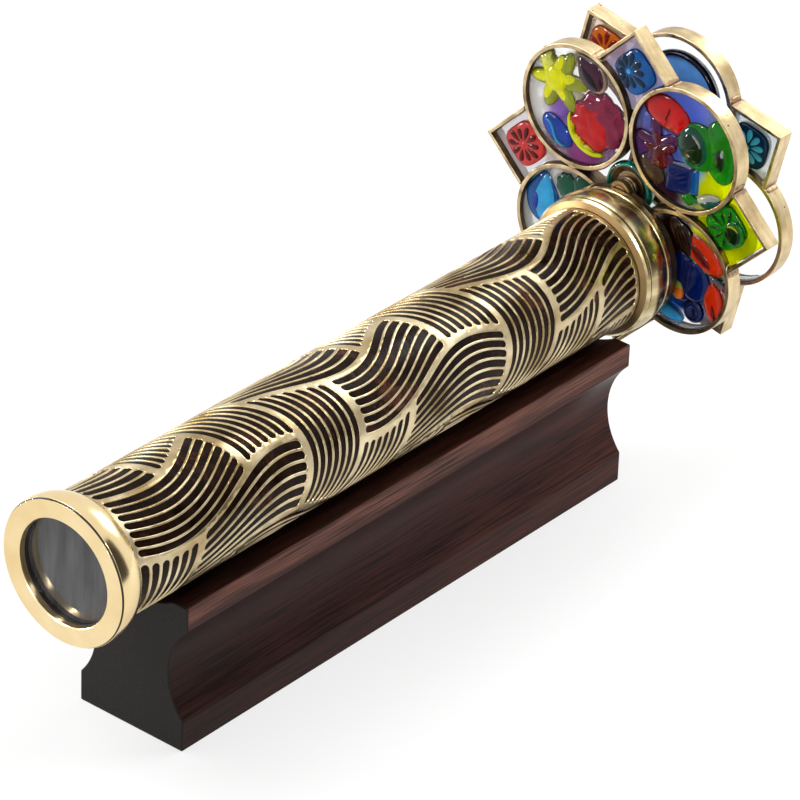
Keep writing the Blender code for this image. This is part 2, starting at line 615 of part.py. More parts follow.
def make_cell(prefix, place_name, wheel, front, angle):
    """A round brass frame with the resin cast in it, and the charms that the resin holds."""
    x = CELL_CIRCLE * math.cos(angle)
    z = CELL_CIRCLE * math.sin(angle)
    frame = tube_outline(CELL_RADIUS, CELL_BORE, front, front + CELL_DEPTH)
    turned(f"{prefix}_ring_{place_name}", frame, "antique_brass", CELL_SIDES, wheel, (x, 0, z))
    lens_front = front + GLASS_RECESS
    lens_name = f"{prefix}_lens_{place_name}"
    resin = disc_outline(LENS_RADIUS, lens_front, lens_front + LENS_THICKNESS)
    lens = turned(lens_name, resin, "clear_resin", CELL_SIDES, wheel, (x, 0, z))
    for number, (kind, across, up, wide, tall, turn) in enumerate(CHARM_SHARES[lens_name]):
        centre = (x + across * LENS_RADIUS, z + up * LENS_RADIUS)
        set_charm(
            lens,
            f"{lens_name}_charm_{number}",
            kind,
            centre,
            lens_front,
            wide * LENS_RADIUS,
            tall * LENS_RADIUS,
            -math.radians(turn),
        )


def strip_end(corner, clearance):
    """Where a diamond's side, which leaves its outer corner on +X at 45 degrees, meets a ring."""
    span = corner + RING_INWARD
    reach = CELL_RADIUS + clearance
    half = (span + RING_ASIDE) / 2
    run = half - math.sqrt(half**2 - (span**2 + RING_ASIDE**2 - reach**2) / 2)
    return corner - run, run


def tile_outline(corner):
    """A diamond's tile, from its outer corner on +X along both sides and the two rings' bands."""
    x, z = strip_end(corner, SEAT_GAP)
    reach = CELL_RADIUS + SEAT_GAP
    start = math.atan2(z - RING_ASIDE, x + RING_INWARD)
    stop = -math.asin((RING_ASIDE - TILE_TIP / 2) / reach)
    turns = [start + (stop - start) * k / TILE_ARC_STEPS for k in range(TILE_ARC_STEPS + 1)]
    side = [(reach * math.cos(a) - RING_INWARD, reach * math.sin(a) + RING_ASIDE) for a in turns]
    return [(corner, 0), *side, *[(x, -z) for x, z in reversed(side)]]


def make_diamond(prefix, place_name, wheel, front, angle, finish):
    """A brass strip, bent square and soldered to two rings, and the glass tile that they enclose."""
    x = DIAMOND_CIRCLE * math.cos(angle)
    z = DIAMOND_CIRCLE * math.sin(angle)
    outer = DIAMOND_SIDE / math.sqrt(2)
    inner = outer - math.sqrt(2) * DIAMOND_WALL
    (outer_x, outer_z), (inner_x, inner_z) = (strip_end(corner, SOLDER_GAP) for corner in (outer, inner))
    half = [(outer, 0), (outer_x, outer_z), (inner_x, inner_z)]
    strip = half + [(inner, 0), (inner_x, -inner_z), (outer_x, -outer_z)]
    frame = flat_plate(f"{prefix}_diamond_{place_name}", [strip], CELL_DEPTH)
    place(frame, "antique_brass", wheel, (x, front + CELL_DEPTH / 2, z), angle)
    tile_front = front + GLASS_RECESS
    tile_corner = inner - math.sqrt(2) * SEAT_GAP
    block = flat_plate(f"{prefix}_tile_{place_name}", [tile_outline(tile_corner)], TILE_THICKNESS)
    tile = place(block, finish, wheel, (x, tile_front + TILE_THICKNESS / 2, z), angle)
    reach = FLOWER_SHARE * TILE_SIDE
    set_charm(tile, f"{tile.name}_flower", "flower", (x, z), tile_front, reach, reach, angle)


def make_wheel(prefix, scope, front, turn, ring_places, diamond_places, tile_finishes):
    """Four round cells and, between them, four diamonds, round a glass ring and a brass bush."""
    wheel = guide_line(f"{prefix}_wheel_axis", (0, 0, AXLE_RISE), scope)
    for number, place_name in enumerate(ring_places):
        make_cell(prefix, place_name, wheel, front, turn + math.pi / 4 + number * math.pi / 2)
    for number, (place_name, finish) in enumerate(zip(diamond_places, tile_finishes)):
        make_diamond(prefix, place_name, wheel, front, turn + number * math.pi / 2, finish)
    hub_front = front + HUB_FRONT_SINK
    bush = tube_outline(HUB_BUSH_RADIUS, AXLE_BORE, hub_front, hub_front + HUB_LENGTH)
    turned(f"{prefix}_hub_bush", bush, "antique_brass", SMALL_SIDES, wheel)
    glass_front = front + (CELL_DEPTH - HUB_GLASS_THICKNESS) / 2
    glass_back = glass_front + HUB_GLASS_THICKNESS
    glass_bore = HUB_BUSH_RADIUS + SEAT_GAP
    rim = CELL_CIRCLE - CELL_RADIUS - SEAT_GAP - HUB_GLASS_CROWN
    ring = crowned((rim, glass_back), (rim, glass_front), HUB_GLASS_CROWN, 4)
    ring += [(glass_bore, glass_front), (glass_bore, glass_back)]
    turned(f"{prefix}_hub_glass", ring, "teal_glass", SMALL_SIDES, wheel)


make_stand()
scope_axis = guide_line("scope_axis", (0, 0, TUBE_HEIGHT))
make_tube(scope_axis)
make_eyepiece(scope_axis)
make_mirrors(scope_axis)
make_end_cap(scope_axis)
make_axle(guide_line("axle_line", (0, 0, AXLE_RISE), scope_axis))
make_wheel(
    "near",
    scope_axis,
    NEAR_FRONT,
    0,
    ("upper_right", "upper_left", "lower_left", "lower_right"),
    ("right", "top", "left", "bottom"),
    ("green_glass", "blue_glass", "red_glass", "orange_glass"),
)
make_wheel(
    "far",
    scope_axis,
    FAR_FRONT,
    FAR_TURN,
    ("top", "left", "bottom", "right"),
    ("upper_right", "upper_left", "lower_left", "lower_right"),
    ("cyan_glass", "orange_glass", "red_glass", "blue_glass"),
)
bpy.context.view_layer.update()
for made in list(PARTS.objects):
    if made.type == "MESH":
        settle(made)
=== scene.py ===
import math

import bmesh
import bpy
from mathutils import Matrix, Vector, noise


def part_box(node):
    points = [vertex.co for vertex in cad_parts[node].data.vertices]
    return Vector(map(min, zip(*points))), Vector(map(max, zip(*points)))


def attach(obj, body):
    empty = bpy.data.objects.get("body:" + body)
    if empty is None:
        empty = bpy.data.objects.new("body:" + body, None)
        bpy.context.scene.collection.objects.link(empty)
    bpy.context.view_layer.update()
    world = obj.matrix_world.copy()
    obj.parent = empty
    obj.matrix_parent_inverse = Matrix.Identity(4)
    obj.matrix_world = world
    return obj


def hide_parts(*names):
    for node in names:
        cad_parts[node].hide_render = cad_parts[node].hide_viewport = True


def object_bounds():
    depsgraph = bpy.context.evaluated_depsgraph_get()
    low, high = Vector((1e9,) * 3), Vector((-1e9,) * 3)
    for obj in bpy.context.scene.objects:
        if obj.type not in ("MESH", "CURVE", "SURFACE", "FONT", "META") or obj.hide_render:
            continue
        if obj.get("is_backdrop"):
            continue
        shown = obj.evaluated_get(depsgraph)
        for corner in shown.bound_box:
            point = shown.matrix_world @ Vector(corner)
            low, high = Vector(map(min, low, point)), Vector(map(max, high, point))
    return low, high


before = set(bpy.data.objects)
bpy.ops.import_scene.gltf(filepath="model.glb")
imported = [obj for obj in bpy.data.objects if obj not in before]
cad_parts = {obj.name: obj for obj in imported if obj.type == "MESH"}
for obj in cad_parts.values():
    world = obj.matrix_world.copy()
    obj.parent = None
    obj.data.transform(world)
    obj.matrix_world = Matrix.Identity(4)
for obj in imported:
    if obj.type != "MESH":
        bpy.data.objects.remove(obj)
cad_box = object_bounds()
MM = 0.001

# Camera. It looks down over the right side of the eyepiece, from about 1.3 m, through a long lens,
# and is tipped a little to the left.
AZIMUTH, ELEVATION, ROLL = (math.radians(angle) for angle in (39.08, 31.04, 2.14))
lens = bpy.data.cameras.new("camera")
lens.lens = 244.24
lens.sensor_width = 36
lens.clip_start = 0.05
camera = bpy.data.objects.new("camera", lens)
bpy.context.scene.collection.objects.link(camera)
camera.location = (0.86435, -1.04808, 0.88266)
camera.rotation_euler = (
    Matrix.Rotation(AZIMUTH, 3, "Z")
    @ Matrix.Rotation(math.pi / 2 - ELEVATION, 3, "X")
    @ Matrix.Rotation(ROLL, 3, "Z")
).to_euler()
bpy.context.scene.camera = camera
bpy.context.scene.view_settings.view_transform = "Standard"

# Studio. A white surround and soft lamps: high on the left, behind, and a small one on the right
# that polished surfaces don't mirror. Only they mirror the three narrow lamps, for the glints, and
# the dark card, which gives the brass its brown streaks.
WHITE = (1.0, 1.0, 1.0, 1.0)
WORLD_LIGHT = 0.55
MIDDLE = (0, 0, 0.07)
LAMPS = {  # place, width and height, power, and what it is aimed at
    "key_lamp": ((-0.75, -0.55, 1.25), (0.9, 0.9), 17, MIDDLE),
    "side_lamp": ((0.35, 0.45, 0.25), (0.3, 0.3), 2.3, MIDDLE),
    "back_lamp": ((0.1, 1.3, 1.0), (0.7, 0.7), 8, MIDDLE),
    "right_glint": ((0.75, -0.95, 0.75), (0.06, 0.42), 8, MIDDLE),
    "left_glint": ((-0.55, -0.9, 0.95), (0.07, 0.30), 6, MIDDLE),
    "low_glint": ((-0.52, -0.24, 0.10), (0.05, 0.16), 2.2, (0, 0.125, 0.09)),
}
FLOOR_REACH = 4.0
FLOOR_GLOW = 0.68  # of the floor that is seen directly is white by itself, and takes no shadow
CARD_PLACE, CARD_SIZE = (0.60, 0.10, 0.43), (0.86, 0.72)


def node(tree, kind, inputs=(), **settings):
    """A shader node with its settings and socket values."""
    made = tree.nodes.new(kind)
    for name, value in settings.items():
        setattr(made, name, value)
    for name, value in dict(inputs).items():
        if hasattr(value, "is_output"):
            tree.links.new(value, made.inputs[name])
        else:
            made.inputs[name].default_value = value
    return made


def reckon(tree, operation, *values):
    """The outcome of arithmetic on numbers or sockets."""
    return node(tree, "ShaderNodeMath", enumerate(values), operation=operation).outputs[0]


def seen_directly(tree):
    """1 for what the camera, a mirror or glass sees, and 0 for the light that falls on things."""
    path = node(tree, "ShaderNodeLightPath").outputs
    seen = reckon(tree, "MAXIMUM", path["Is Camera Ray"], path["Is Glossy Ray"])
    return reckon(tree, "MAXIMUM", seen, path["Is Transmission Ray"])


world = bpy.data.worlds.new("studio")
bpy.context.scene.world = world
world.use_nodes = True
tree = world.node_tree
tree.nodes.clear()
lit = node(tree, "ShaderNodeBackground", {"Color": WHITE, "Strength": WORLD_LIGHT})
seen = node(tree, "ShaderNodeBackground", {"Color": WHITE, "Strength": 1.0})
both = node(tree, "ShaderNodeMixShader", {0: seen_directly(tree), 1: lit.outputs[0], 2: seen.outputs[0]})
node(tree, "ShaderNodeOutputWorld", {"Surface": both.outputs[0]})

for name, (place, size, power, aim) in LAMPS.items():
    lamp = bpy.data.lights.new(name, "AREA")
    lamp.shape = "RECTANGLE"
    lamp.size, lamp.size_y = size
    lamp.energy = power
    stand_in = bpy.data.objects.new(name, lamp)
    stand_in.visible_glossy = name != "side_lamp"
    if name.endswith("glint"):
        stand_in.visible_diffuse = stand_in.visible_transmission = stand_in.visible_camera = False
    stand_in.location = place
    stand_in.rotation_euler = (Vector(place) - Vector(aim)).to_track_quat("Z", "Y").to_euler()
    bpy.context.scene.collection.objects.link(stand_in)


def add(name, shape):
    """Puts a finished bmesh in the scene as one smooth-shaded object."""
    mesh = bpy.data.meshes.new(name)
    shape.to_mesh(mesh)
    shape.free()
    mesh.shade_smooth()
    piece = bpy.data.objects.new(name, mesh)
    bpy.context.scene.collection.objects.link(piece)
    return piece


shape = bmesh.new()
bmesh.ops.create_grid(shape, x_segments=1, y_segments=1, size=FLOOR_REACH)
floor = add("floor", shape)
paper = bpy.data.materials.new("floor_paper")
paper.use_nodes = True
tree = paper.node_tree
tree.nodes.clear()
shaded = node(tree, "ShaderNodeBsdfDiffuse", {"Color": (0.92, 0.92, 0.92, 1.0)})
glow = node(tree, "ShaderNodeEmission", {"Color": WHITE, "Strength": 1.0})
share = reckon(tree, "MULTIPLY", seen_directly(tree), FLOOR_GLOW)
both = node(tree, "ShaderNodeMixShader", {0: share, 1: shaded.outputs[0], 2: glow.outputs[0]})
node(tree, "ShaderNodeOutputMaterial", {"Surface": both.outputs[0]})
floor.data.materials.append(paper)
floor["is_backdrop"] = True

black = bpy.data.materials.new("card_black")
black.use_nodes = True
sockets = black.node_tree.nodes["Principled BSDF"].inputs
sockets["Base Color"].default_value = (0.012, 0.006, 0.003, 1.0)
sockets["Roughness"].default_value = 0.9
shape = bmesh.new()
bmesh.ops.create_grid(shape, x_segments=1, y_segments=1, size=0.5)
bmesh.ops.scale(shape, verts=shape.verts, vec=(*CARD_SIZE, 1))
bmesh.ops.rotate(shape, verts=shape.verts, matrix=Matrix.Rotation(math.pi / 2, 3, "Y"))
bmesh.ops.translate(shape, verts=shape.verts, vec=CARD_PLACE)
card = add("dark_card", shape)
card.visible_camera = card.visible_transmission = card.visible_diffuse = card.visible_shadow = False
card.data.materials.append(black)
card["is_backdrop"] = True

# Stand. A block of dark oiled hardwood: a plinth, a hollow cove and a flange are moulded along it,
# and a shallow round groove on top cradles the tube. Its sawn ends are almost black, the flange's
# sides are lighter, and painted light makes the wood lighter towards the back.
STAND_LOW, STAND_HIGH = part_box("stand_block")
FLANGE_WIDTH = STAND_HIGH[0] - STAND_LOW[0]
PLINTH_WIDTH = 39.4 * MM
PLINTH_HEIGHT = 10.0 * MM
FLANGE_HEIGHT = 7.6 * MM
COVE_DEPTH = 6.3 * MM
GROOVE_WIDTH = 30.8 * MM
GROOVE_DEPTH = 4.25 * MM
STAND_EDGE = 0.5 * MM
# Where the paler tone of the flange's sides starts and is full, in from its side and up from its
# foot, and where the sawn ends' tone does, in from an end.
PALE_SIDE_IN, PALE_SIDE_UP, SAWN_IN = (0.9 * MM, 0.2 * MM), (-0.4 * MM, 3.2 * MM), (0.6 * MM, 0.1 * MM)


def arc(start, end, rise, steps):
    """Points from start to end along an arc that bulges to the left of that way by rise."""
    a, b = Vector(start), Vector(end)
    half = (b - a).length / 2
    radius = (half**2 + rise**2) / (2 * abs(rise))
    left = Vector((a.y - b.y, b.x - a.x)).normalized() * math.copysign(1, rise)
    centre = (a + b) / 2 - left * (radius - abs(rise))
    sweep = -2 * math.asin(min(1, half / radius)) * math.copysign(1, rise)
    return [tuple(centre + Matrix.Rotation(sweep * i / steps, 2) @ (a - centre)) for i in range(steps + 1)]


def slab(outline, front, back):
    """A flat face in the XZ plane at front, drawn out to back."""
    shape = bmesh.new()
    face = shape.faces.new([shape.verts.new((x, front, z)) for x, z in outline])
    drawn = bmesh.ops.extrude_face_region(shape, geom=[face])
    ends = [v for v in drawn["geom"] if isinstance(v, bmesh.types.BMVert)]
    bmesh.ops.translate(shape, verts=ends, vec=(0, back - front, 0))
    bmesh.ops.recalc_face_normals(shape, faces=shape.faces)
    return shape


def ease(piece, width, segments=3, limit=30):
    """Rounds the crisp edges of a piece, as a file or a buff does."""
    step = piece.modifiers.new("eased", "BEVEL")
    step.width = width
    step.segments = segments
    step.limit_method = "ANGLE"
    step.angle_limit = math.radians(limit)
    step.harden_normals = True


def where(tree):
    """The place on the object, which patterns are laid out by."""
    return node(tree, "ShaderNodeTexCoord").outputs["Object"]


def mottle(tree, grain, detail=3.0, **more):
    """A noise pattern with grain cells in a metre, along each axis."""
    spread = node(tree, "ShaderNodeMapping", {"Vector": where(tree), "Scale": grain})
    inputs = {"Vector": spread.outputs[0], "Scale": 1.0, "Detail": detail, **more}
    return node(tree, "ShaderNodeTexNoise", inputs).outputs["Fac"]


def remap(tree, value, low, high, bottom=0.0, top=1.0, **settings):
    """Runs from bottom to top as value goes from low to high."""
    ends = {"Value": value, "From Min": low, "From Max": high, "To Min": bottom, "To Max": top}
    return node(tree, "ShaderNodeMapRange", ends, **settings).outputs["Result"]


def tones(tree, value, dark, light, low=0.0, high=1.0):
    """Runs from a dark to a light colour as value goes from low to high."""
    ramp = node(tree, "ShaderNodeValToRGB", {"Fac": value})
    for stop, place, colour in zip(ramp.color_ramp.elements, (low, high), (dark, light)):
        stop.position, stop.color = place, (*colour, 1)
    return ramp.outputs["Color"]


def lay(tree, under, over, share=1.0, way="MIX"):
    """One colour laid over another or, with MULTIPLY as the way, shaded by it."""
    inputs = {0: share, 6: under, 7: over}
    return node(tree, "ShaderNodeMix", inputs, data_type="RGBA", blend_type=way).outputs[2]


def feed(tree, socket, value):
    """Joins a value to a socket of the surface's own shader."""
    tree.links.new(value, tree.nodes["Principled BSDF"].inputs[socket])


def own_tones(tree):
    """The wandering colour that finish gave a surface."""
    return tree.nodes["tones"].outputs["Color"]


def finish(name, base, rough, metal=0.0, grain=(900, 900, 900), bump=0.1, depth=0.1 * MM, **constants):
    """A surface whose colour and roughness wander between pairs of values over a noise pattern.
    grain gives the pattern's cells in a metre, along each axis."""
    made = bpy.data.materials.new(name)
    made.use_nodes = True
    tree = made.node_tree
    shader = tree.nodes["Principled BSDF"]
    for socket, value in constants.items():
        shader.inputs[socket.replace("_", " ")].default_value = value
    shader.inputs["Metallic"].default_value = metal
    pattern = mottle(tree, grain)
    colour = tones(tree, pattern, *base, 0.32, 0.68)
    colour.node.name = "tones"
    feed(tree, "Base Color", colour)
    feed(tree, "Roughness", remap(tree, pattern, 0.3, 0.7, *rough))
    if bump:
        relief = node(tree, "ShaderNodeBump", {"Height": pattern, "Strength": bump, "Distance": depth})
        feed(tree, "Normal", relief.outputs["Normal"])
    return made


foot = (PLINTH_WIDTH / 2, 0.0)
plinth = (PLINTH_WIDTH / 2, PLINTH_HEIGHT)
flange = (FLANGE_WIDTH / 2, STAND_HIGH[2] - FLANGE_HEIGHT)
brink = (GROOVE_WIDTH / 2, STAND_HIGH[2])
right = [foot, *arc(plinth, flange, COVE_DEPTH, 28), (FLANGE_WIDTH / 2, STAND_HIGH[2])]
groove = arc(brink, (-brink[0], brink[1]), GROOVE_DEPTH, 24)
outline = right + groove + [(-x, z) for x, z in reversed(right)]
stand = add("moulded_stand", slab(outline, STAND_LOW[1], STAND_HIGH[1]))
ease(stand, STAND_EDGE)
wood = finish(
    "dark_wood_oiled",
    ((0.0036, 0.0012, 0.0009), (0.046, 0.0135, 0.0092)),
    (0.34, 0.46),
    grain=(2300, 45, 2300),
    bump=0.25,
    Specular_IOR_Level=0.10,
)
tree = wood.node_tree
across, along, up = node(tree, "ShaderNodeSeparateXYZ", {0: where(tree)}).outputs
figure = mottle(tree, (95, 5, 95), 4.0, Distortion=0.6)
bands = tones(tree, figure, (0.45, 0.42, 0.42), (1.5, 1.35, 1.25))
streaked = lay(tree, own_tones(tree), bands, way="MULTIPLY")
# Painted light: the wood darkens towards the front and lightens towards the back.
painted_light_toward_back = remap(tree, along, STAND_LOW[1], STAND_HIGH[1], 0.62, 1.4)
board_with_painted_light = lay(tree, streaked, painted_light_toward_back, way="MULTIPLY")
aside = reckon(tree, "ABSOLUTE", across)
# The flange's sides turn paler, from a little above their foot.
outer = remap(tree, aside, *(FLANGE_WIDTH / 2 - inset for inset in PALE_SIDE_IN), 0.0, 0.85)
upper = remap(tree, up, *(flange[1] + rise for rise in PALE_SIDE_UP))
paler = lay(tree, streaked, (4.1, 5.9, 6.4, 1), way="MULTIPLY")
pale_sides = lay(tree, board_with_painted_light, paler, reckon(tree, "MULTIPLY", outer, upper))
reach = reckon(tree, "ABSOLUTE", along)
sawn = remap(tree, reach, *(STAND_HIGH[1] - inset for inset in SAWN_IN))
pores = node(tree, "ShaderNodeTexVoronoi", {"Vector": where(tree), "Scale": 1800.0})
end_grain = tones(tree, pores.outputs["Distance"], (0.013, 0.0105, 0.0102), (0.024, 0.020, 0.0195))
feed(tree, "Base Color", lay(tree, pale_sides, end_grain, sawn))
stand.data.materials.append(wood)
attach(stand, "stand")
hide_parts("stand_block")

# Barrel and resin. The brass barrel is hidden but for its ends. Dark brown resin with coppery
# flecks is cast over it, fills the openings of the fretwork and is polished just under the brass.
SLEEVE_LOW, SLEEVE_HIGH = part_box("fret_sleeve")
SLEEVE_RADIUS = (SLEEVE_HIGH[0] - SLEEVE_LOW[0]) / 2
TUBE_HEIGHT = (SLEEVE_HIGH[2] + SLEEVE_LOW[2]) / 2
RESIN_DEPTH = 0.32 * MM
RESIN_BORE = 18.2 * MM
RESIN_SHORT = 0.1 * MM  # of the sleeve's ends
RESIN_EDGE = 0.2 * MM
WELD = 0.001 * MM  # points closer than this are one


def lathe(profile, sides=96, centre=(0.0, TUBE_HEIGHT)):
    """Spins a profile of (radius, place along Y) round the line along Y through centre. The profile
    is a closed loop, unless it starts on that line. A third value rounds a corner that far back."""
    points = []
    for i, (radius, along, *rounding) in enumerate(profile):
        corner = Vector((radius, along))
        if not rounding:
            points.append(corner)
            continue
        ahead = (Vector(profile[(i + 1) % len(profile)][:2]) - corner).normalized() * rounding[0]
        behind = (Vector(profile[i - 1][:2]) - corner).normalized() * rounding[0]
        points += [corner + behind * (1 - s) ** 2 + ahead * s**2 for s in (0, 0.2, 0.4, 0.6, 0.8, 1)]
    shape = bmesh.new()
    verts = [shape.verts.new((p.x, p.y, 0)) for p in points]
    pairs = list(zip(verts, verts[1:]))
    if profile[0][0] > 0:
        pairs.append((verts[-1], verts[0]))
    edges = [shape.edges.new(pair) for pair in pairs]
    bmesh.ops.spin(
        shape,
        geom=verts + edges,
        cent=(0, 0, 0),
        axis=(0, 1, 0),
        angle=2 * math.pi,
        steps=sides,
        use_merge=True,
    )
    bmesh.ops.remove_doubles(shape, verts=shape.verts, dist=WELD)
    bmesh.ops.recalc_face_normals(shape, faces=shape.faces)
    bmesh.ops.translate(shape, verts=shape.verts, vec=(centre[0], 0, centre[1]))
    return shape


def tube(outer, inner, front, back, rounding):
    """The profile of a plain tube with rounded edges."""
    corners = ((outer, back), (outer, front), (inner, front), (inner, back))
    return [(*corner, rounding) for corner in corners]


drawn_tones = ((0.42, 0.27, 0.10), (0.60, 0.42, 0.18))
barrel_brass = finish("barrel_brass_drawn", drawn_tones, (0.30, 0.42), 1.0, (300, 20, 300))
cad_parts["barrel_tube"].data.materials[0] = barrel_brass
resin_ends = (SLEEVE_LOW[1] + RESIN_SHORT, SLEEVE_HIGH[1] - RESIN_SHORT)
profile = tube(SLEEVE_RADIUS - RESIN_DEPTH, RESIN_BORE, *resin_ends, RESIN_EDGE)
resin = add("resin_casting", lathe(profile, 128))
resin_finish = finish(
    "dark_resin_flecked",
    ((0.0045, 0.0017, 0.0006), (0.015, 0.0062, 0.0030)),
    (0.14, 0.26),
    grain=(260, 260, 260),
    bump=0.5,
    depth=0.3 * MM,
    Specular_IOR_Level=0.07,
)
tree = resin_finish.node_tree
fleck = mottle(tree, (620, 620, 620), Roughness=0.7)
drift = mottle(tree, (75, 75, 75), 1.0)
thick = reckon(tree, "MULTIPLY_ADD", drift, 0.65, reckon(tree, "MULTIPLY", fleck, 0.35))
spots = remap(tree, thick, 0.56, 0.68, 0.0, 0.75)
feed(tree, "Base Color", lay(tree, own_tones(tree), (0.105, 0.034, 0.020, 1), spots))
resin.data.materials.append(resin_finish)
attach(resin, "scope")
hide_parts("resin_inlay")

# Fretwork sleeve. A brass sheet sawn through in bundles of wavy slots that run along and round the
# tube by turns, then rolled, soldered underneath and rubbed down so that its edges are soft.
COLUMNS, ROWS = 6, 10  # of the grid that the bundles follow, round and along the tube
SLOT_PITCH = 2.9 * MM
SLOT_STEP = 1.7 * MM
SLOT_SHARE = 0.74  # of the pitch that is open
BEND = 0.31  # of a grid square, by which the bundles wander
END_MARGIN, SIDE_MARGIN = 0.07, 0.03  # of a grid square, and of a bundle's width
FRET_WALL = 0.55 * MM
FRET_EDGE = 0.11 * MM
FRET_DROP = 0.09 * MM  # of the rubbed edges below the sheet
ROLL_SIDES = 80
PROBE = 0.02  # of a grid square, either way from its middle
girth = 2 * math.pi * SLEEVE_RADIUS
run = SLEEVE_HIGH[1] - SLEEVE_LOW[1]


def sway(p, q):
    """Where a point of the grid lies on the flat sheet, which is straight at its four edges."""
    x, y = 2 * p / COLUMNS - 1, 2 * q / ROWS - 1
    p += BEND * (1 - x**4) * math.sin(1.7 * q + 0.4)
    q += BEND * (1 - y**6) * math.sin(1.5 * p + 2.0)
    return (p / COLUMNS - 0.5) * girth, (q / ROWS - 0.5) * run


def slot_outlines():
    """The outline of each slot on the flat sheet, bundle by bundle."""
    for i in range(COLUMNS):
        for j in range(ROWS):
            turn = (i - j) % 4
            round_it = turn == 0 or (turn == 1 and i == 0)
            if not round_it and turn != 3 and not (turn == 2 and j == 0):
                continue
            reach = 2 if turn in (0, 3) else 1
            cells = min(reach, (COLUMNS - i) if round_it else (ROWS - j))

            def at(s, t):
                return Vector(sway(i + s * cells, j + t) if round_it else sway(i + t, j + s * cells))

            ahead = at(0.5 + PROBE, 0.5) - at(0.5 - PROBE, 0.5)
            aside = at(0.5, 0.5 + PROBE) - at(0.5, 0.5 - PROBE)
            length = ahead.length / (2 * PROBE)
            width = abs(ahead.cross(aside)) / (2 * PROBE) ** 2 / length
            share = 1 - 2 * SIDE_MARGIN
            count = max(2, round(width * share / SLOT_PITCH))
            half = share * SLOT_SHARE / (2 * count)
            tip = half * width / length
            start, stop = END_MARGIN / cells + tip, 1 - END_MARGIN / cells - tip
            steps = max(3, round((stop - start) * length / SLOT_STEP))
            side = [(start - tip * math.cos(a), half * math.sin(a)) for a in (0, 0.55, 1.1)]
            side += [(start + (stop - start) * k / steps, half) for k in range(steps + 1)]
            side += [(stop + tip * math.cos(a), half * math.sin(a)) for a in (1.1, 0.55, 0)]
            for k in range(count):
                middle = SIDE_MARGIN + share * (k + 0.5) / count
                back = [at(s, middle - w) for s, w in reversed(side[1:-1])]
                yield [at(s, middle + w) for s, w in side] + back


def tube_axis(place):
    """The point of the tube's middle line that is level with a place."""
    return Vector((0, place.y, TUBE_HEIGHT))


sheet = bpy.data.curves.new("sheet", "CURVE")
sheet.dimensions = "2D"
sheet.fill_mode = "FRONT"
edge = [(u * girth / 2, v * run / 2) for u, v in ((-1, -1), (1, -1), (1, 1), (-1, 1))]
for outline in [edge, *slot_outlines()]:
    cut = sheet.splines.new("POLY")
    cut.points.add(len(outline) - 1)
    for point, (u, v) in zip(cut.points, outline):
        point.co = (u, v, 0, 1)
    cut.use_cyclic_u = True
flat = bpy.data.objects.new("sheet", sheet)
bpy.context.scene.collection.objects.link(flat)
pierced = bpy.data.meshes.new_from_object(flat.evaluated_get(bpy.context.evaluated_depsgraph_get()))
bpy.data.objects.remove(flat, do_unlink=True)
shape = bmesh.new()
shape.from_mesh(pierced)
bmesh.ops.remove_doubles(shape, verts=shape.verts, dist=2 * WELD)
for k in range(1, ROLL_SIDES):
    everything = shape.verts[:] + shape.edges[:] + shape.faces[:]
    place = ((k / ROLL_SIDES - 0.5) * girth, 0, 0)
    bmesh.ops.bisect_plane(shape, geom=everything, dist=WELD / 2, plane_co=place, plane_no=(1, 0, 0))
for vert in shape.verts:
    angle = vert.co.x / SLEEVE_RADIUS
    along = vert.co.y + (SLEEVE_LOW[1] + SLEEVE_HIGH[1]) / 2
    vert.co = (SLEEVE_RADIUS * math.sin(angle), along, TUBE_HEIGHT + SLEEVE_RADIUS * math.cos(angle))
bmesh.ops.remove_doubles(shape, verts=shape.verts, dist=2 * WELD)
bmesh.ops.recalc_face_normals(shape, faces=shape.faces)
middles = [(face.calc_center_median(), face.normal) for face in shape.faces]
if sum((middle - tube_axis(middle)).dot(normal) for middle, normal in middles) < 0:
    bmesh.ops.reverse_faces(shape, faces=shape.faces)
bmesh.ops.inset_region(
    shape, faces=shape.faces[:], thickness=FRET_EDGE, depth=0, use_boundary=True, use_even_offset=True
)
rim = [e for e in shape.edges if e.is_boundary]
for vert in {v for e in rim for v in e.verts}:
    vert.co = vert.co.lerp(tube_axis(vert.co), FRET_DROP / SLEEVE_RADIUS)
wall = bmesh.ops.extrude_edge_only(shape, edges=rim)
for vert in (v for v in wall["geom"] if isinstance(v, bmesh.types.BMVert)):
    vert.co -= (vert.co - tube_axis(vert.co)).normalized() * (FRET_WALL - FRET_DROP)
fret = add("fretwork_sleeve", shape)
fret_brass = finish(
    "fret_brass_rubbed",
    ((0.35, 0.245, 0.105), (0.86, 0.73, 0.48)),
    (0.26, 0.40),
    1.0,
    (90, 60, 90),
    bump=0.12,
    depth=0.2 * MM,
)
fret.data.materials.append(fret_brass)
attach(fret, "scope")
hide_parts("fret_sleeve")

# Eyepiece. A ring turned from brass bar: a flat face, a crowned band behind a crease painted black
# as shade, and a bevelled aperture. Its band laps over the sleeve. Smoked glass lies behind a
# keeper ring in it.
EYE_LOW, EYE_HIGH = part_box("eyepiece_ring")
front, back = EYE_LOW[1], EYE_HIGH[1]
EYE_LAP, LAP_LEAN = 0.7 * MM, 0.1 * MM  # of the band over the sleeve, and how much its end leans
EYE_COLLAR = 20.1 * MM  # radius inside the lap
EYE_SEAT = 18.4 * MM  # radius of the seat for the barrel
EYE_BAND = (20.9 * MM, 22.8 * MM)  # radii of the band behind and in front
EYE_CROWN = 1.0 * MM
EYE_CREASE = 22.15 * MM
EYE_FACE = 22.45 * MM
EYE_FACE_EDGE, EYE_CREASE_WIDTH = 0.2 * MM, 0.4 * MM
CREASE_LEAN = (0.05 * MM, 0.1 * MM)  # of its front wall and its back wall
CREASE_DARK = (0.03 * MM, 0.58 * MM)  # behind the face, where its painted shade starts and ends
EYE_APERTURE = 16.6 * MM
EYE_BEVEL = 0.35 * MM
EYE_LIP = 2.6 * MM
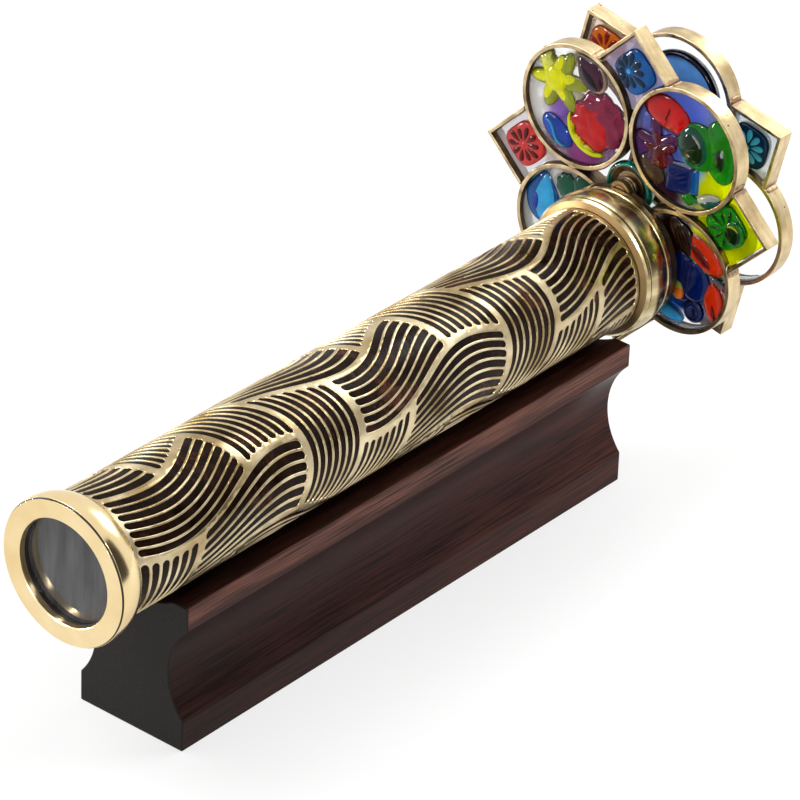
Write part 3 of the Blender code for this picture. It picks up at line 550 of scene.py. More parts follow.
# How far back turned corners are rounded.
SHARP, CRISP, BUFFED, SMOOTH, SOFT = 0.08 * MM, 0.1 * MM, 0.15 * MM, 0.2 * MM, 0.3 * MM
crease_back = front + EYE_FACE_EDGE + EYE_CREASE_WIDTH
band = arc((EYE_BAND[0], back + EYE_LAP - LAP_LEAN), (EYE_BAND[1], crease_back), EYE_CROWN, 20)
profile = [
    (EYE_COLLAR, back),
    (EYE_COLLAR, back + EYE_LAP, BUFFED),
    *band[:-1],
    (*band[-1], SHARP),
    (EYE_CREASE, crease_back - CREASE_LEAN[1]),
    (EYE_CREASE, front + EYE_FACE_EDGE + CREASE_LEAN[0]),
    (EYE_FACE, front + EYE_FACE_EDGE, SHARP / 2),
    (EYE_FACE, front, SHARP),
    (EYE_APERTURE + EYE_BEVEL, front, CRISP),
    (EYE_APERTURE, front + EYE_BEVEL, CRISP),
    (EYE_APERTURE, front + EYE_LIP, SMOOTH),
    (EYE_SEAT, front + EYE_LIP),
    (EYE_SEAT, back),
]
eyepiece = add("eyepiece_turning", lathe(profile, 160))


def turned_brass(name, base, rough, centre, lines=2600.0, strength=0.05, grain=(70, 70, 70)):
    """Brass with fine lathe marks round the line along Y through centre."""
    made = finish(name, base, rough, 1.0, grain, bump=0)
    tree = made.node_tree
    offset = (-centre[0], 0, -centre[1])
    centred = node(tree, "ShaderNodeMapping", {"Vector": where(tree), "Location": offset})
    looks = {"Vector": centred.outputs[0], "Scale": lines, "Distortion": 1.5, "Detail": 2.0}
    marks = node(tree, "ShaderNodeTexWave", looks, wave_type="RINGS", rings_direction="Y")
    cut = {"Height": marks.outputs["Fac"], "Strength": strength, "Distance": 0.05 * MM}
    feed(tree, "Normal", node(tree, "ShaderNodeBump", cut).outputs["Normal"])
    return made


tube_line = (0, TUBE_HEIGHT)
polished_tones = ((0.83, 0.62, 0.31), (0.92, 0.74, 0.43))
polished = turned_brass("polished_brass_turned", polished_tones, (0.15, 0.22), tube_line)
# Painted shade: a near-black for the crease, the deep bore and the keeper, where shade falls.
painted_shade_black_tones = ((0.008, 0.006, 0.005), (0.022, 0.018, 0.015))
painted_shade_black = finish("eyepiece_painted_shade_black", painted_shade_black_tones, (0.25, 0.4), grain=(300, 300, 300))
eyepiece.data.materials.append(polished)
eyepiece.data.materials.append(painted_shade_black)
# Painted shade: faces in the crease and deep in the bore take the near-black.
for face in eyepiece.data.polygons:
    reach, deep = (face.center - tube_axis(face.center)).length, face.center.y - front
    in_bore = reach < EYE_APERTURE + CRISP and deep > EYE_LIP - SOFT
    in_crease = reach > EYE_CREASE - BUFFED and CREASE_DARK[0] < deep < CREASE_DARK[1]
    if in_bore or in_crease:
        face.material_index = 1
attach(eyepiece, "scope")
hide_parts("eyepiece_ring")

WINDOW_SHARE = 0.6  # of the window's place that lies in front of its glass
KEEPER_GAP = 0.05 * MM
# Painted reflections: the smoked glass's tones run in faint upright streaks.
smoked = finish(
    "window_glass_smoked",
    ((0.042, 0.040, 0.043), (0.105, 0.104, 0.108)),
    (0.04, 0.09),
    grain=(330, 60, 45),
    bump=0,
    Transmission_Weight=0.25,
    IOR=1.5,
)
low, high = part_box("eyepiece_window")
radius, glass_back = high[0], high[1]
glass_front = low[1] + WINDOW_SHARE * (high[1] - low[1])
profile = [(0, glass_back), (radius, glass_back, CRISP), (radius, glass_front, CRISP), (0, glass_front)]
glass = add("eyepiece_glass", lathe(profile, 96))
glass.data.materials.append(smoked)
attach(glass, "scope")
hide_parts("eyepiece_window")
profile = tube(radius, EYE_APERTURE, low[1], glass_front - KEEPER_GAP, CRISP)
keeper = add("eyepiece_keeper", lathe(profile, 96))
# The keeper, deep in the bore, takes the same painted shade.
keeper.data.materials.append(painted_shade_black)
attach(keeper, "scope")

# Mirrors. Three strips of front-silvered glass stand edge to edge as a long prism. Black card lines
# the barrel and packs them tight, so that no screw or glue touches them.
silver_tones = ((0.80, 0.82, 0.83), (0.86, 0.88, 0.88))
silver = finish("mirror_silvered", silver_tones, (0.02, 0.05), 1.0, (50, 50, 50), bump=0)
card_tones = ((0.012, 0.012, 0.012), (0.03, 0.028, 0.027))
card_black = finish("packing_card_black", card_tones, (0.75, 0.9), grain=(1500, 1500, 1500), bump=0.3)
for number in (1, 2, 3):
    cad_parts[f"mirror_strip_{number}"].data.materials[0] = silver
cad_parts["mirror_wrap"].data.materials[0] = card_black

# End cap. A stepped brass turning soldered over the sleeve: a matt sloping face, a bead, a scored
# line, a polished crowned band, a step and a thin lip. A clear glass disc closes the barrel in it.
CAP_LOW, CAP_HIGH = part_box("end_cap_ring")
front, back = CAP_LOW[1], CAP_HIGH[1]
CAP_LIP = (22.4 * MM, 22.6 * MM, 22.45 * MM)  # radii from the back on, and so for each pair below
LIP_BULGE, LIP_END = 0.9 * MM, 2.4 * MM  # in from the back, as the next two places are
CAP_STEP, STEP_PLACE = 21.9 * MM, 2.7 * MM
CAP_SHOULDER, SHOULDER_PLACE = 22.5 * MM, 3.1 * MM
CAP_BAND = (22.7 * MM, 22.6 * MM)
BAND_BACK, BAND_FRONT = 3.6 * MM, 3.5 * MM  # in from the back, and from the front
CAP_SCORE, SCORE_PLACE = 22.2 * MM, 3.1 * MM  # in from the front, as the rest are
CAP_BEAD = (22.35 * MM, 22.2 * MM)
BEAD_BACK, BEAD_FRONT = 2.9 * MM, 1.1 * MM
CAP_CROWN = 0.5 * MM  # of the band and the bead
CAP_SLOPE = (21.9 * MM, 20.1 * MM)
SLOPE_PLACE, MATT_PLACE = 0.8 * MM, 0.85 * MM  # where the slope ends, and its matt finish
LIP_EDGE, CAP_EDGE = 0.25 * MM, 0.12 * MM
profile = [
    (CAP_LIP[0], back, SOFT),
    (CAP_LIP[1], back - LIP_BULGE, SOFT),
    (CAP_LIP[2], back - LIP_END, LIP_EDGE),
    (CAP_STEP, back - STEP_PLACE, CAP_EDGE),
    (CAP_SHOULDER, back - SHOULDER_PLACE, BUFFED),
    *arc((CAP_BAND[0], back - BAND_BACK), (CAP_BAND[1], front + BAND_FRONT), CAP_CROWN, 12),
    (CAP_SCORE, front + SCORE_PLACE, CAP_EDGE),
    *arc((CAP_BEAD[0], front + BEAD_BACK), (CAP_BEAD[1], front + BEAD_FRONT), CAP_CROWN, 8),
    (CAP_SLOPE[0], front + SLOPE_PLACE, CAP_EDGE),
    (CAP_SLOPE[1], front, CAP_EDGE),
    (EYE_SEAT, front),
    (EYE_SEAT, back),
]
cap = add("end_cap_turning", lathe(profile, 160))
# Painted reflections: the cap's brass runs from brown to cream in streaks along the tube.
cap_tones_painted_reflections = ((0.24, 0.165, 0.060), (0.80, 0.69, 0.42))
cap_brass_painted_reflections = turned_brass("polished_brass_cap_painted_reflections", cap_tones_painted_reflections, (0.20, 0.30), tube_line, grain=(150, 12, 150))
cap.data.materials.append(cap_brass_painted_reflections)
matt_tones = ((0.22, 0.14, 0.058), (0.36, 0.245, 0.11))
matt = turned_brass("polished_brass_matt", matt_tones, (0.36, 0.46), tube_line, 1700.0, 0.2)
cap.data.materials.append(matt)
for face in cap.data.polygons:
    if face.center.y < front + MATT_PLACE:
        face.material_index = 1
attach(cap, "scope")
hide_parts("end_cap_ring")
clear_tones = ((0.93, 0.95, 0.95), (0.96, 0.97, 0.97))
glassy = {"grain": (50, 50, 50), "bump": 0, "Transmission_Weight": 1.0, "IOR": 1.45}
clear = finish("window_glass_clear", clear_tones, (0.02, 0.04), **glassy)
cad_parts["end_window"].data.materials[0] = clear

# End plate and axle. A brown-toned brass plate closes the cap. Its ear holds the fixed axle, on
# which turned spacers keep the two wheels apart, and a domed nut ends it.
AXLE_HEIGHT = sum(corner[2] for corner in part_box("end_washer")) / 2
AXLE_BORE = 1.75 * MM
RIDGE_EDGE, RIDGE_DEPTH = 0.16 * MM, 0.35 * MM
RIDGE_FOOT = 0.2 * MM  # by which the front end is narrower
NUT_RADIUS, NUT_THICK, NUT_EDGE = 3.5 * MM, 3.2 * MM, 0.25 * MM
DOME_RADIUS = 2.75 * MM
DOME_SEAT, DOME_ROOT = 0.1 * MM, 0.3 * MM  # how deep its foot lies in the nut, and its root below that
axle_line = (0.0, AXLE_HEIGHT)
aged_tones = ((0.09, 0.062, 0.036), (0.26, 0.185, 0.105))
toned_brass = turned_brass("antique_brass_toned", aged_tones, (0.28, 0.42), axle_line, 2200.0, 0.15)
for name in ("end_plate", "axle_pin"):
    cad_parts[name].data.materials[0] = toned_brass


def ridged(low, high, ridges):
    """The profile of a collar with soft ridges, bored for the axle, between two corners of its box."""
    front, back, radius = low[1], high[1], high[0]
    points = [(AXLE_BORE, front, CRISP), (AXLE_BORE, back, CRISP)]
    pitch = (back - front) / ridges
    for k in reversed(range(ridges)):
        points.append((radius, front + pitch * (k + 0.92), RIDGE_EDGE))
        points.append((radius, front + pitch * (k + 0.25), RIDGE_EDGE))
        if k:
            points.append((radius - RIDGE_DEPTH, front + pitch * (k + 0.06), CRISP))
    points.append((radius - RIDGE_FOOT, front, CRISP))
    return points


for name, ridges in (("front_spacer", 2), ("wheel_spacer", 5), ("end_washer", 1)):
    collar = add(f"{name}_turning", lathe(ridged(*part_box(name), ridges), 64, axle_line))
    collar.data.materials.append(toned_brass)
    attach(collar, "scope")
    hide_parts(name)

low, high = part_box("end_nut")
shape = bmesh.new()
bmesh.ops.create_cone(
    shape, cap_ends=True, segments=6, radius1=NUT_RADIUS, radius2=NUT_RADIUS, depth=NUT_THICK
)
bmesh.ops.rotate(shape, verts=shape.verts, matrix=Matrix.Rotation(-math.pi / 2, 3, "X"))
bmesh.ops.translate(shape, verts=shape.verts, vec=(0, low[1] + NUT_THICK / 2, AXLE_HEIGHT))
bmesh.ops.bevel(
    shape, geom=shape.edges[:], offset=NUT_EDGE, segments=2, profile=0.5, affect="EDGES", material=-1
)
dome_foot = low[1] + NUT_THICK - DOME_SEAT
rise = high[1] - dome_foot
bow = [(DOME_RADIUS * math.sin(a), dome_foot + rise * math.cos(a)) for a in (0.3, 0.6, 0.9, 1.2, 1.5)]
root = [(DOME_RADIUS, dome_foot - DOME_ROOT), (0, dome_foot - DOME_ROOT)]
dome = lathe([(0, high[1]), *bow, *root], 48, axle_line)
dome_mesh = bpy.data.meshes.new("dome")
dome.to_mesh(dome_mesh)
dome.free()
shape.from_mesh(dome_mesh)
nut = add("domed_nut", shape)
nut.data.materials.append(polished)
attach(nut, "scope")
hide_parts("end_nut")

# Wheels, frames. Rings are cut from brass tube, and strips are bent square and soldered between
# them. Their bands are brushed. Painted shade makes what looks into a cell or lies between two
# rings dark, and their front faces darker.
WHEELS = {
    "near": (("upper_right", "upper_left", "lower_left", "lower_right"), ("right", "top", "left", "bottom")),
    "far": (("top", "left", "bottom", "right"), ("upper_right", "upper_left", "lower_left", "lower_right")),
}
RING_BORE = 19.2 * MM
STRIP_WALL = 1.2 * MM
SOLDER_GAP = 0.4 * MM
SOLDER_SPREAD = 3.4 * MM  # how far a joint's solder has run over the brass
GLASS_RECESS = 2.0 * MM  # behind the frames' front edges
FRAME_EDGE = 0.22 * MM


def middle_of(name):
    """The middle of a CAD piece, across and up."""
    low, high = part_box(name)
    return Vector(((low[0] + high[0]) / 2, (low[2] + high[2]) / 2))


HUB = Vector(axle_line)
ring_low, ring_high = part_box("near_ring_upper_right")
RING_RADIUS = (ring_high[0] - ring_low[0]) / 2
RING_REACH = (middle_of("near_ring_upper_right") - HUB).length  # from the axle to a ring's middle
RING_OFF = RING_REACH / math.sqrt(2)  # of a ring's middle, along and aside of a strip's own line
BEND_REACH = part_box("near_diamond_right")[1][0]  # from the axle to the bend of a strip
BEND_INSIDE = BEND_REACH - math.sqrt(2) * STRIP_WALL


def strip_end(bend, gap):
    """Where a side that leaves a bend at 45 degrees meets a ring: along and aside of the line from
    the axle to the bend."""
    square = (bend - RING_OFF) ** 2 + RING_OFF**2 - (RING_RADIUS + gap) ** 2
    run = bend / 2 - math.sqrt(bend**2 / 4 - square / 2)
    return Vector((bend - run, run))


def bearing(place):
    """The angle of a place round the axle, from +X towards +Z."""
    return math.atan2(place.y - HUB.y, place.x - HUB.x)


def swing(shape, angle):
    """Turns a shape that was made along +X to its angle round the axle."""
    bmesh.ops.rotate(shape, verts=shape.verts, matrix=Matrix.Rotation(-angle, 3, "Y"))
    bmesh.ops.translate(shape, verts=shape.verts, vec=(HUB.x, 0, HUB.y))


JOINT = (strip_end(BEND_REACH, 0) + strip_end(BEND_INSIDE, 0)) / 2
FREE_TURN = math.pi / 4 - math.atan2(JOINT.y - RING_OFF, JOINT.x - RING_OFF)
JOINTS = {}  # of each wheel: where solder joins two frames, and the way across the joint
for wheel, (rings, strips) in WHEELS.items():
    middles = [middle_of(f"{wheel}_ring_{place_name}") for place_name in rings]
    JOINTS[wheel] = [((a + b) / 2, b - a) for a, b in zip(middles, middles[1:] + middles[:1])]
    for ring_middle in middles:
        for side in (-1, 1):
            turn = Matrix.Rotation(bearing(ring_middle) + side * math.pi / 4, 2)
            at = HUB + turn @ Vector((JOINT.x, -side * JOINT.y))
            JOINTS[wheel].append((at, at - ring_middle))

brushed_tones = ((0.64, 0.50, 0.28), (0.80, 0.65, 0.40))
band_brass = finish("antique_brass_brushed", brushed_tones, (0.28, 0.40), 1.0, (160, 600, 160), bump=0.2)
tree = band_brass.node_tree
cloud = mottle(tree, (110, 110, 110), 4.0)
shade = tones(tree, cloud, (0.66, 0.60, 0.50), (1.05, 1.05, 1.05), 0.35, 0.6)
aged = lay(tree, own_tones(tree), shade, way="MULTIPLY")
runs = node(tree, "ShaderNodeAttribute", attribute_name="solder").outputs["Fac"]
uneven = reckon(tree, "MULTIPLY", mottle(tree, (700, 700, 700)), 0.9)
wet = remap(tree, reckon(tree, "SUBTRACT", runs, uneven), -0.05, 0.12, 0.0, 0.85)
bronzed = lay(tree, aged, (0.36, 0.225, 0.14, 1), wet)
cells = node(tree, "ShaderNodeTexVoronoi", {"Vector": where(tree), "Scale": 420.0})
pits = reckon(tree, "LESS_THAN", cells.outputs["Distance"], remap(tree, cloud, 0.52, 0.60, 0.0, 0.13))
feed(tree, "Base Color", lay(tree, bronzed, (0.05, 0.03, 0.015, 1), pits))
# Painted shade: a darker copy of the brass for the frames' front faces.
front_shade_tones = ((0.28, 0.195, 0.10), (0.70, 0.55, 0.33))
front_brass_painted_shade = finish("frame_brass_front_painted_shade", front_shade_tones, (0.26, 0.40), 1.0, (190, 190, 190), bump=0.3)
# Painted shade: a dark brass for frame faces that look into a cell or lie between two rings. The hubs'
# dishes are of this dark brass too.
dark_and_shade_tones = ((0.05, 0.032, 0.018), (0.15, 0.105, 0.06))
dark_brass_and_painted_shade = finish("brass_dark_and_painted_shade", dark_and_shade_tones, (0.35, 0.5), 1.0, (260, 700, 260), bump=0.2)


def dress_frame(frame_piece, node_name, wheel, in_painted_shade):
    """Solder marks, materials, body and node of a frame. Its last argument tells which faces take
    the dark painted shade.
    """
    mark = frame_piece.data.attributes.new("solder", "FLOAT", "POINT")
    for value, vert in zip(mark.data, frame_piece.data.vertices):
        away = min((vert.co.xz - at).length for at, across in JOINTS[wheel])
        value.value = max(0.0, 1 - away / SOLDER_SPREAD)
    for brass in (band_brass, dark_brass_and_painted_shade, front_brass_painted_shade):
        frame_piece.data.materials.append(brass)
    for face in frame_piece.data.polygons:
        # Painted shade: faces turned to the front take the darker brass.
        if face.normal.y < -0.8:
            face.material_index = 2
        # Painted shade: faces that look into a cell or lie between two rings take the dark brass.
        if in_painted_shade(face.center.xz, face.normal.xz):
            face.material_index = 1
    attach(frame_piece, f"{wheel}_wheel")
    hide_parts(node_name)


for wheel, (rings, strips) in WHEELS.items():
    low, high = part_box(f"{wheel}_ring_{rings[0]}")
    front, back = low[1], high[1]
    for ring_name, strip_name in zip(rings, strips):
        name = f"{wheel}_ring_{ring_name}"
        centre = middle_of(name)
        away = (centre - HUB).normalized()

        # Where painted shade lies on a ring: on its bore, and on its band where it faces another ring.
        def shade_between_rings(at, normal):
            outward = (at - centre).normalized()
            facing = normal.dot(outward)
            return facing < -0.6 or (facing > 0.6 and outward.angle(away) > FREE_TURN)

        # Where painted shade lies on a strip: on the faces that look in towards the axle.
        def shade_inside_strip(at, normal):
            return normal.dot(at - HUB) < -0.3 * (at - HUB).length

        ring = add(f"{name}_band", lathe(tube(RING_RADIUS, RING_BORE, front, back, FRAME_EDGE), 96, centre))
        dress_frame(ring, name, wheel, shade_between_rings)

        bend, end = Vector((BEND_REACH, 0)), strip_end(BEND_REACH, SOLDER_GAP)
        inner_bend, inner_end = Vector((BEND_INSIDE, 0)), strip_end(BEND_INSIDE, SOLDER_GAP)
        side = [bend.lerp(end, k / 14) for k in range(15)]
        side += [inner_end.lerp(inner_bend, k / 14) for k in range(15)]
        shape = slab([*side, *[(p.x, -p.y) for p in reversed(side[1:-1])]], front, back)
        swing(shape, bearing(centre) - math.pi / 4)
        strip = add(f"{wheel}_diamond_{strip_name}_strip", shape)
        ease(strip, FRAME_EDGE, 2)
        dress_frame(strip, f"{wheel}_diamond_{strip_name}", wheel, shade_inside_strip)

# Solder. Blobs of toned solder fill the narrow gaps where the frames touch each other.
# They swell unevenly, as solder does when it is run in with a torch.
BEAD_THIN, BEAD_FLARE = 0.28 * MM, 0.55 * MM  # half thickness in the gap, and its gain outside it
BEAD_HALF_DEPTH, BEAD_HALF_WIDTH = 2.85 * MM, 2.1 * MM
solder_tones = ((0.30, 0.19, 0.11), (0.60, 0.44, 0.27))
solder_brass = finish("frame_brass_soldered", solder_tones, (0.22, 0.5), 1.0, bump=0.6, depth=0.3 * MM)
for wheel, (rings, strips) in WHEELS.items():
    low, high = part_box(f"{wheel}_ring_{rings[0]}")
    shape = bmesh.new()
    for number, (at, across) in enumerate(JOINTS[wheel]):
        verts = bmesh.ops.create_uvsphere(shape, u_segments=20, v_segments=12, radius=1.0)["verts"]
        for vert in verts:
            x, y, z = vert.co
            swell = 1 + 0.25 * noise.noise(Vector((x * 2 + number * 3, y * 2, z * 2)))
            deep = math.copysign(abs(y) ** 0.35, y)
            thin = x * (BEAD_THIN + BEAD_FLARE * z * z)
            vert.co = (thin, deep * BEAD_HALF_DEPTH, z * BEAD_HALF_WIDTH * swell)
        bmesh.ops.rotate(shape, verts=verts, matrix=Matrix.Rotation(-math.atan2(across.y, across.x), 3, "Y"))
        bmesh.ops.translate(shape, verts=verts, vec=(at.x, (low[1] + high[1]) / 2, at.y))
    beads = add(f"{wheel}_solder", shape)
    beads.data.materials.append(solder_brass)
    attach(beads, f"{wheel}_wheel")

# Cells. Clear resin is cast in each ring, tinted here and there as it was poured, and lampworked
# glass charms lie in it: stars, drops, beads, petals and squiggles, each of one or two colours.
LENS_DEPTH = 3.5 * MM
CHARM_DEPTH = 2.0 * MM  # half of a charm's thickness
LAYER = 0.3 * MM  # from one layer of charms to the next
CHARM_SINK = 0.4 * MM  # of the lowest charms' middles in the casting
CAST_GAP = 0.3 * MM  # between a ring's bore and the radius that the charms' places are shares of
CAST_FLAT = 1.2 * MM  # inside that radius, where the flat ends
CAST_SWELL = (0.5 * MM, 0.08 * MM)  # inside it and forwards, where the resin starts to creep up
CAST_CREEP, CAST_RISE = 0.25 * MM, 0.35 * MM  # outside it and beyond the flats, where it meets the ring


def srgb(red, green, blue):
    """A colour given as a paint program shows it, as the shaders take it."""
    return tuple((c / 255) ** 2.2 for c in (red, green, blue))


def stained(name, colour, clarity=0.5):
    """Glass stained through. Painted light makes it glow towards the bottom right, as a dome lit from
    above would, and painted shade darkens it where its sides turn away."""
    made = finish(
        name,
        (tuple(c * 0.8 for c in colour), colour),
        (0.02, 0.07),
        grain=(260, 260, 260),
        bump=0.5,
        depth=0.6 * MM,
        Transmission_Weight=clarity,
        IOR=1.12,
        Coat_Weight=1.0,
        Coat_IOR=1.26,
        Coat_Roughness=0.02,
    )
    tree = made.node_tree
    turned = node(tree, "ShaderNodeTexCoord").outputs["Normal"]
    facing = node(tree, "ShaderNodeSeparateXYZ", {0: turned}).outputs["Y"]
    # Painted shade: the glass darkens where its sides turn away from the front.
    depth = remap(tree, reckon(tree, "ABSOLUTE", facing), 0.1, 0.65, 0.22)
    # Painted light: it glows towards the bottom right, as if lit from above.
    aim = {0: turned, 1: (0.55, 0.0, -0.83)}
    painted_glow_side = node(tree, "ShaderNodeVectorMath", aim, operation="DOT_PRODUCT").outputs["Value"]
    painted_glow_and_rim_shade = reckon(tree, "MULTIPLY", depth, remap(tree, painted_glow_side, -0.6, 0.2, 0.5))
    feed(tree, "Base Color", lay(tree, own_tones(tree), painted_glow_and_rim_shade, way="MULTIPLY"))
    return made


GLASS = {
    name: stained(f"{name}_glass_stained", srgb(*colour), *clarity)
    for name, (colour, *clarity) in {
        "yellow": ((255, 255, 5), 0.25),
        "lemon": ((252, 252, 120), 0.4),
        "lime": ((210, 235, 25),),
        "olive": ((185, 195, 60),),
        "red": ((248, 26, 28),),
        "ember": ((255, 60, 15), 0.35),
        "garnet": ((120, 0, 8),),
        "plum": ((160, 45, 85),),
        "maroon": ((125, 10, 40),),
        "mauve": ((185, 120, 205),),
        "purple": ((105, 40, 95),),
        "damson": ((85, 42, 68),),
        "ink": ((38, 22, 40),),
        "blue": ((115, 185, 255), 0.25),
        "azure": ((15, 110, 195),),
        "cobalt": ((45, 90, 215),),
        "navy": ((8, 36, 105), 0.3),
        "midnight": ((8, 14, 50),),
        "sky": ((60, 185, 255), 0.2),
        "cyan": ((85, 220, 255), 0.35),
        "petrol": ((0, 55, 85),),
        "green": ((25, 160, 20),),
        "bottle": ((0, 95, 72), 0.35),
        "pine": ((8, 55, 15),),
        "teal": ((0, 140, 125),),
        "orange": ((255, 125, 10), 0.35),
        "amber": ((170, 45, 5),),
        "treacle": ((38, 13, 7), 0.3),
        "umber": ((92, 68, 45),),
        "smoke": ((120, 112, 112),),
        "rose": ((255, 72, 68), 0.4),
        "peach": ((245, 205, 175), 0.6),
        "clear": ((245, 247, 250), 0.6),
    }.items()
}


def charm(kind):
    """A charm of half size 1 in the XY plane, from a sphere pushed into shape. +Z is its front."""
    shape = bmesh.new()
    if kind == "gem":
        bmesh.ops.create_cone(shape, cap_ends=True, segments=4, radius1=0.95, radius2=0.55, depth=1.6)
        bmesh.ops.bevel(
            shape, geom=shape.edges[:], offset=0.07, segments=2, profile=0.5, affect="EDGES", material=-1
        )
        return shape
    if kind == "hoop":
        shape.free()
        turns = [k * math.pi / 6 for k in range(12)]
        shape = lathe([(0.93 + 0.07 * math.cos(a), 0.9 * math.sin(a)) for a in turns], 72, (0, 0))
        bmesh.ops.rotate(shape, verts=shape.verts, matrix=Matrix.Rotation(math.pi / 2, 3, "X"))
        return shape
    bmesh.ops.create_uvsphere(shape, u_segments=72, v_segments=18, radius=1.0)
    for vert in shape.verts:
        x, y, z = vert.co
        z = math.copysign(abs(z) ** 0.7, z)
        angle, out = math.atan2(y, x), math.hypot(x, y)
        grow = 1
        if kind == "star":
            grow = 0.42 + 0.62 * abs(math.cos(2.5 * angle)) ** 1.6
            z *= 0.75 + 0.35 * abs(math.cos(2.5 * angle)) ** 4 * out
        elif kind == "starfish":
            grow = 0.50 + 0.50 * abs(math.cos(3 * angle)) ** 1.6
            z *= 0.8 + 0.2 * abs(math.cos(3 * angle)) ** 3 * out
        elif kind == "drop":
            pinch = 1 - 0.62 * max(0, y) ** 1.3
            x, z = x * pinch, z * (0.6 + 0.4 * pinch)
        elif kind == "petal":
            pinch = 1 - 0.88 * max(0, (1 + y) / 2) ** 1.3
            x, z = x * pinch, z * (0.4 + 0.6 * pinch)
        elif kind == "berry":
            lumps = 0.11 * math.sin(7 * x + 1) * math.sin(7 * y) * math.sin(6 * z + 1)
            grow, z = 1 + lumps + 0.05 * math.cos(9 * angle), z * (1 + 2 * lumps)
        elif kind == "squiggle":
            x = 0.34 * x + 0.62 * math.sin(3.0 * y)
        elif kind == "crescent":
            ragged = 1 + 0.5 * math.sin(19 * y) * math.sin(31 * y + 1)
            far, bend = 1 + 0.15 * x * (ragged if x < 0 else 1), math.radians(233 + 50 * y)
            x, y = far * math.cos(bend), far * math.sin(bend)
        elif kind == "ring":
            z *= 1 - 0.75 * math.exp(-((out / 0.42) ** 4))
        elif kind == "melon":
            grow = 1 - 0.10 * (0.5 - 0.5 * math.cos(9 * angle)) * out
        elif kind == "blossom":
            grow = 0.70 + 0.30 * abs(math.cos(2.5 * angle)) ** 0.7
            z *= 1 - 0.35 * math.exp(-((out / 0.3) ** 2))
        elif kind == "chip":
            grow = 0.85 + 0.15 * math.cos(4 * angle) + 0.05 * math.cos(3 * angle + 1)
        elif kind == "pillow":
            grow = (abs(math.cos(angle)) ** 3.4 + abs(math.sin(angle)) ** 3.4) ** (-1 / 3.4)
            z = math.copysign(abs(z) ** 0.5, z)
        vert.co = (x * grow, y * grow, z)
    return shape


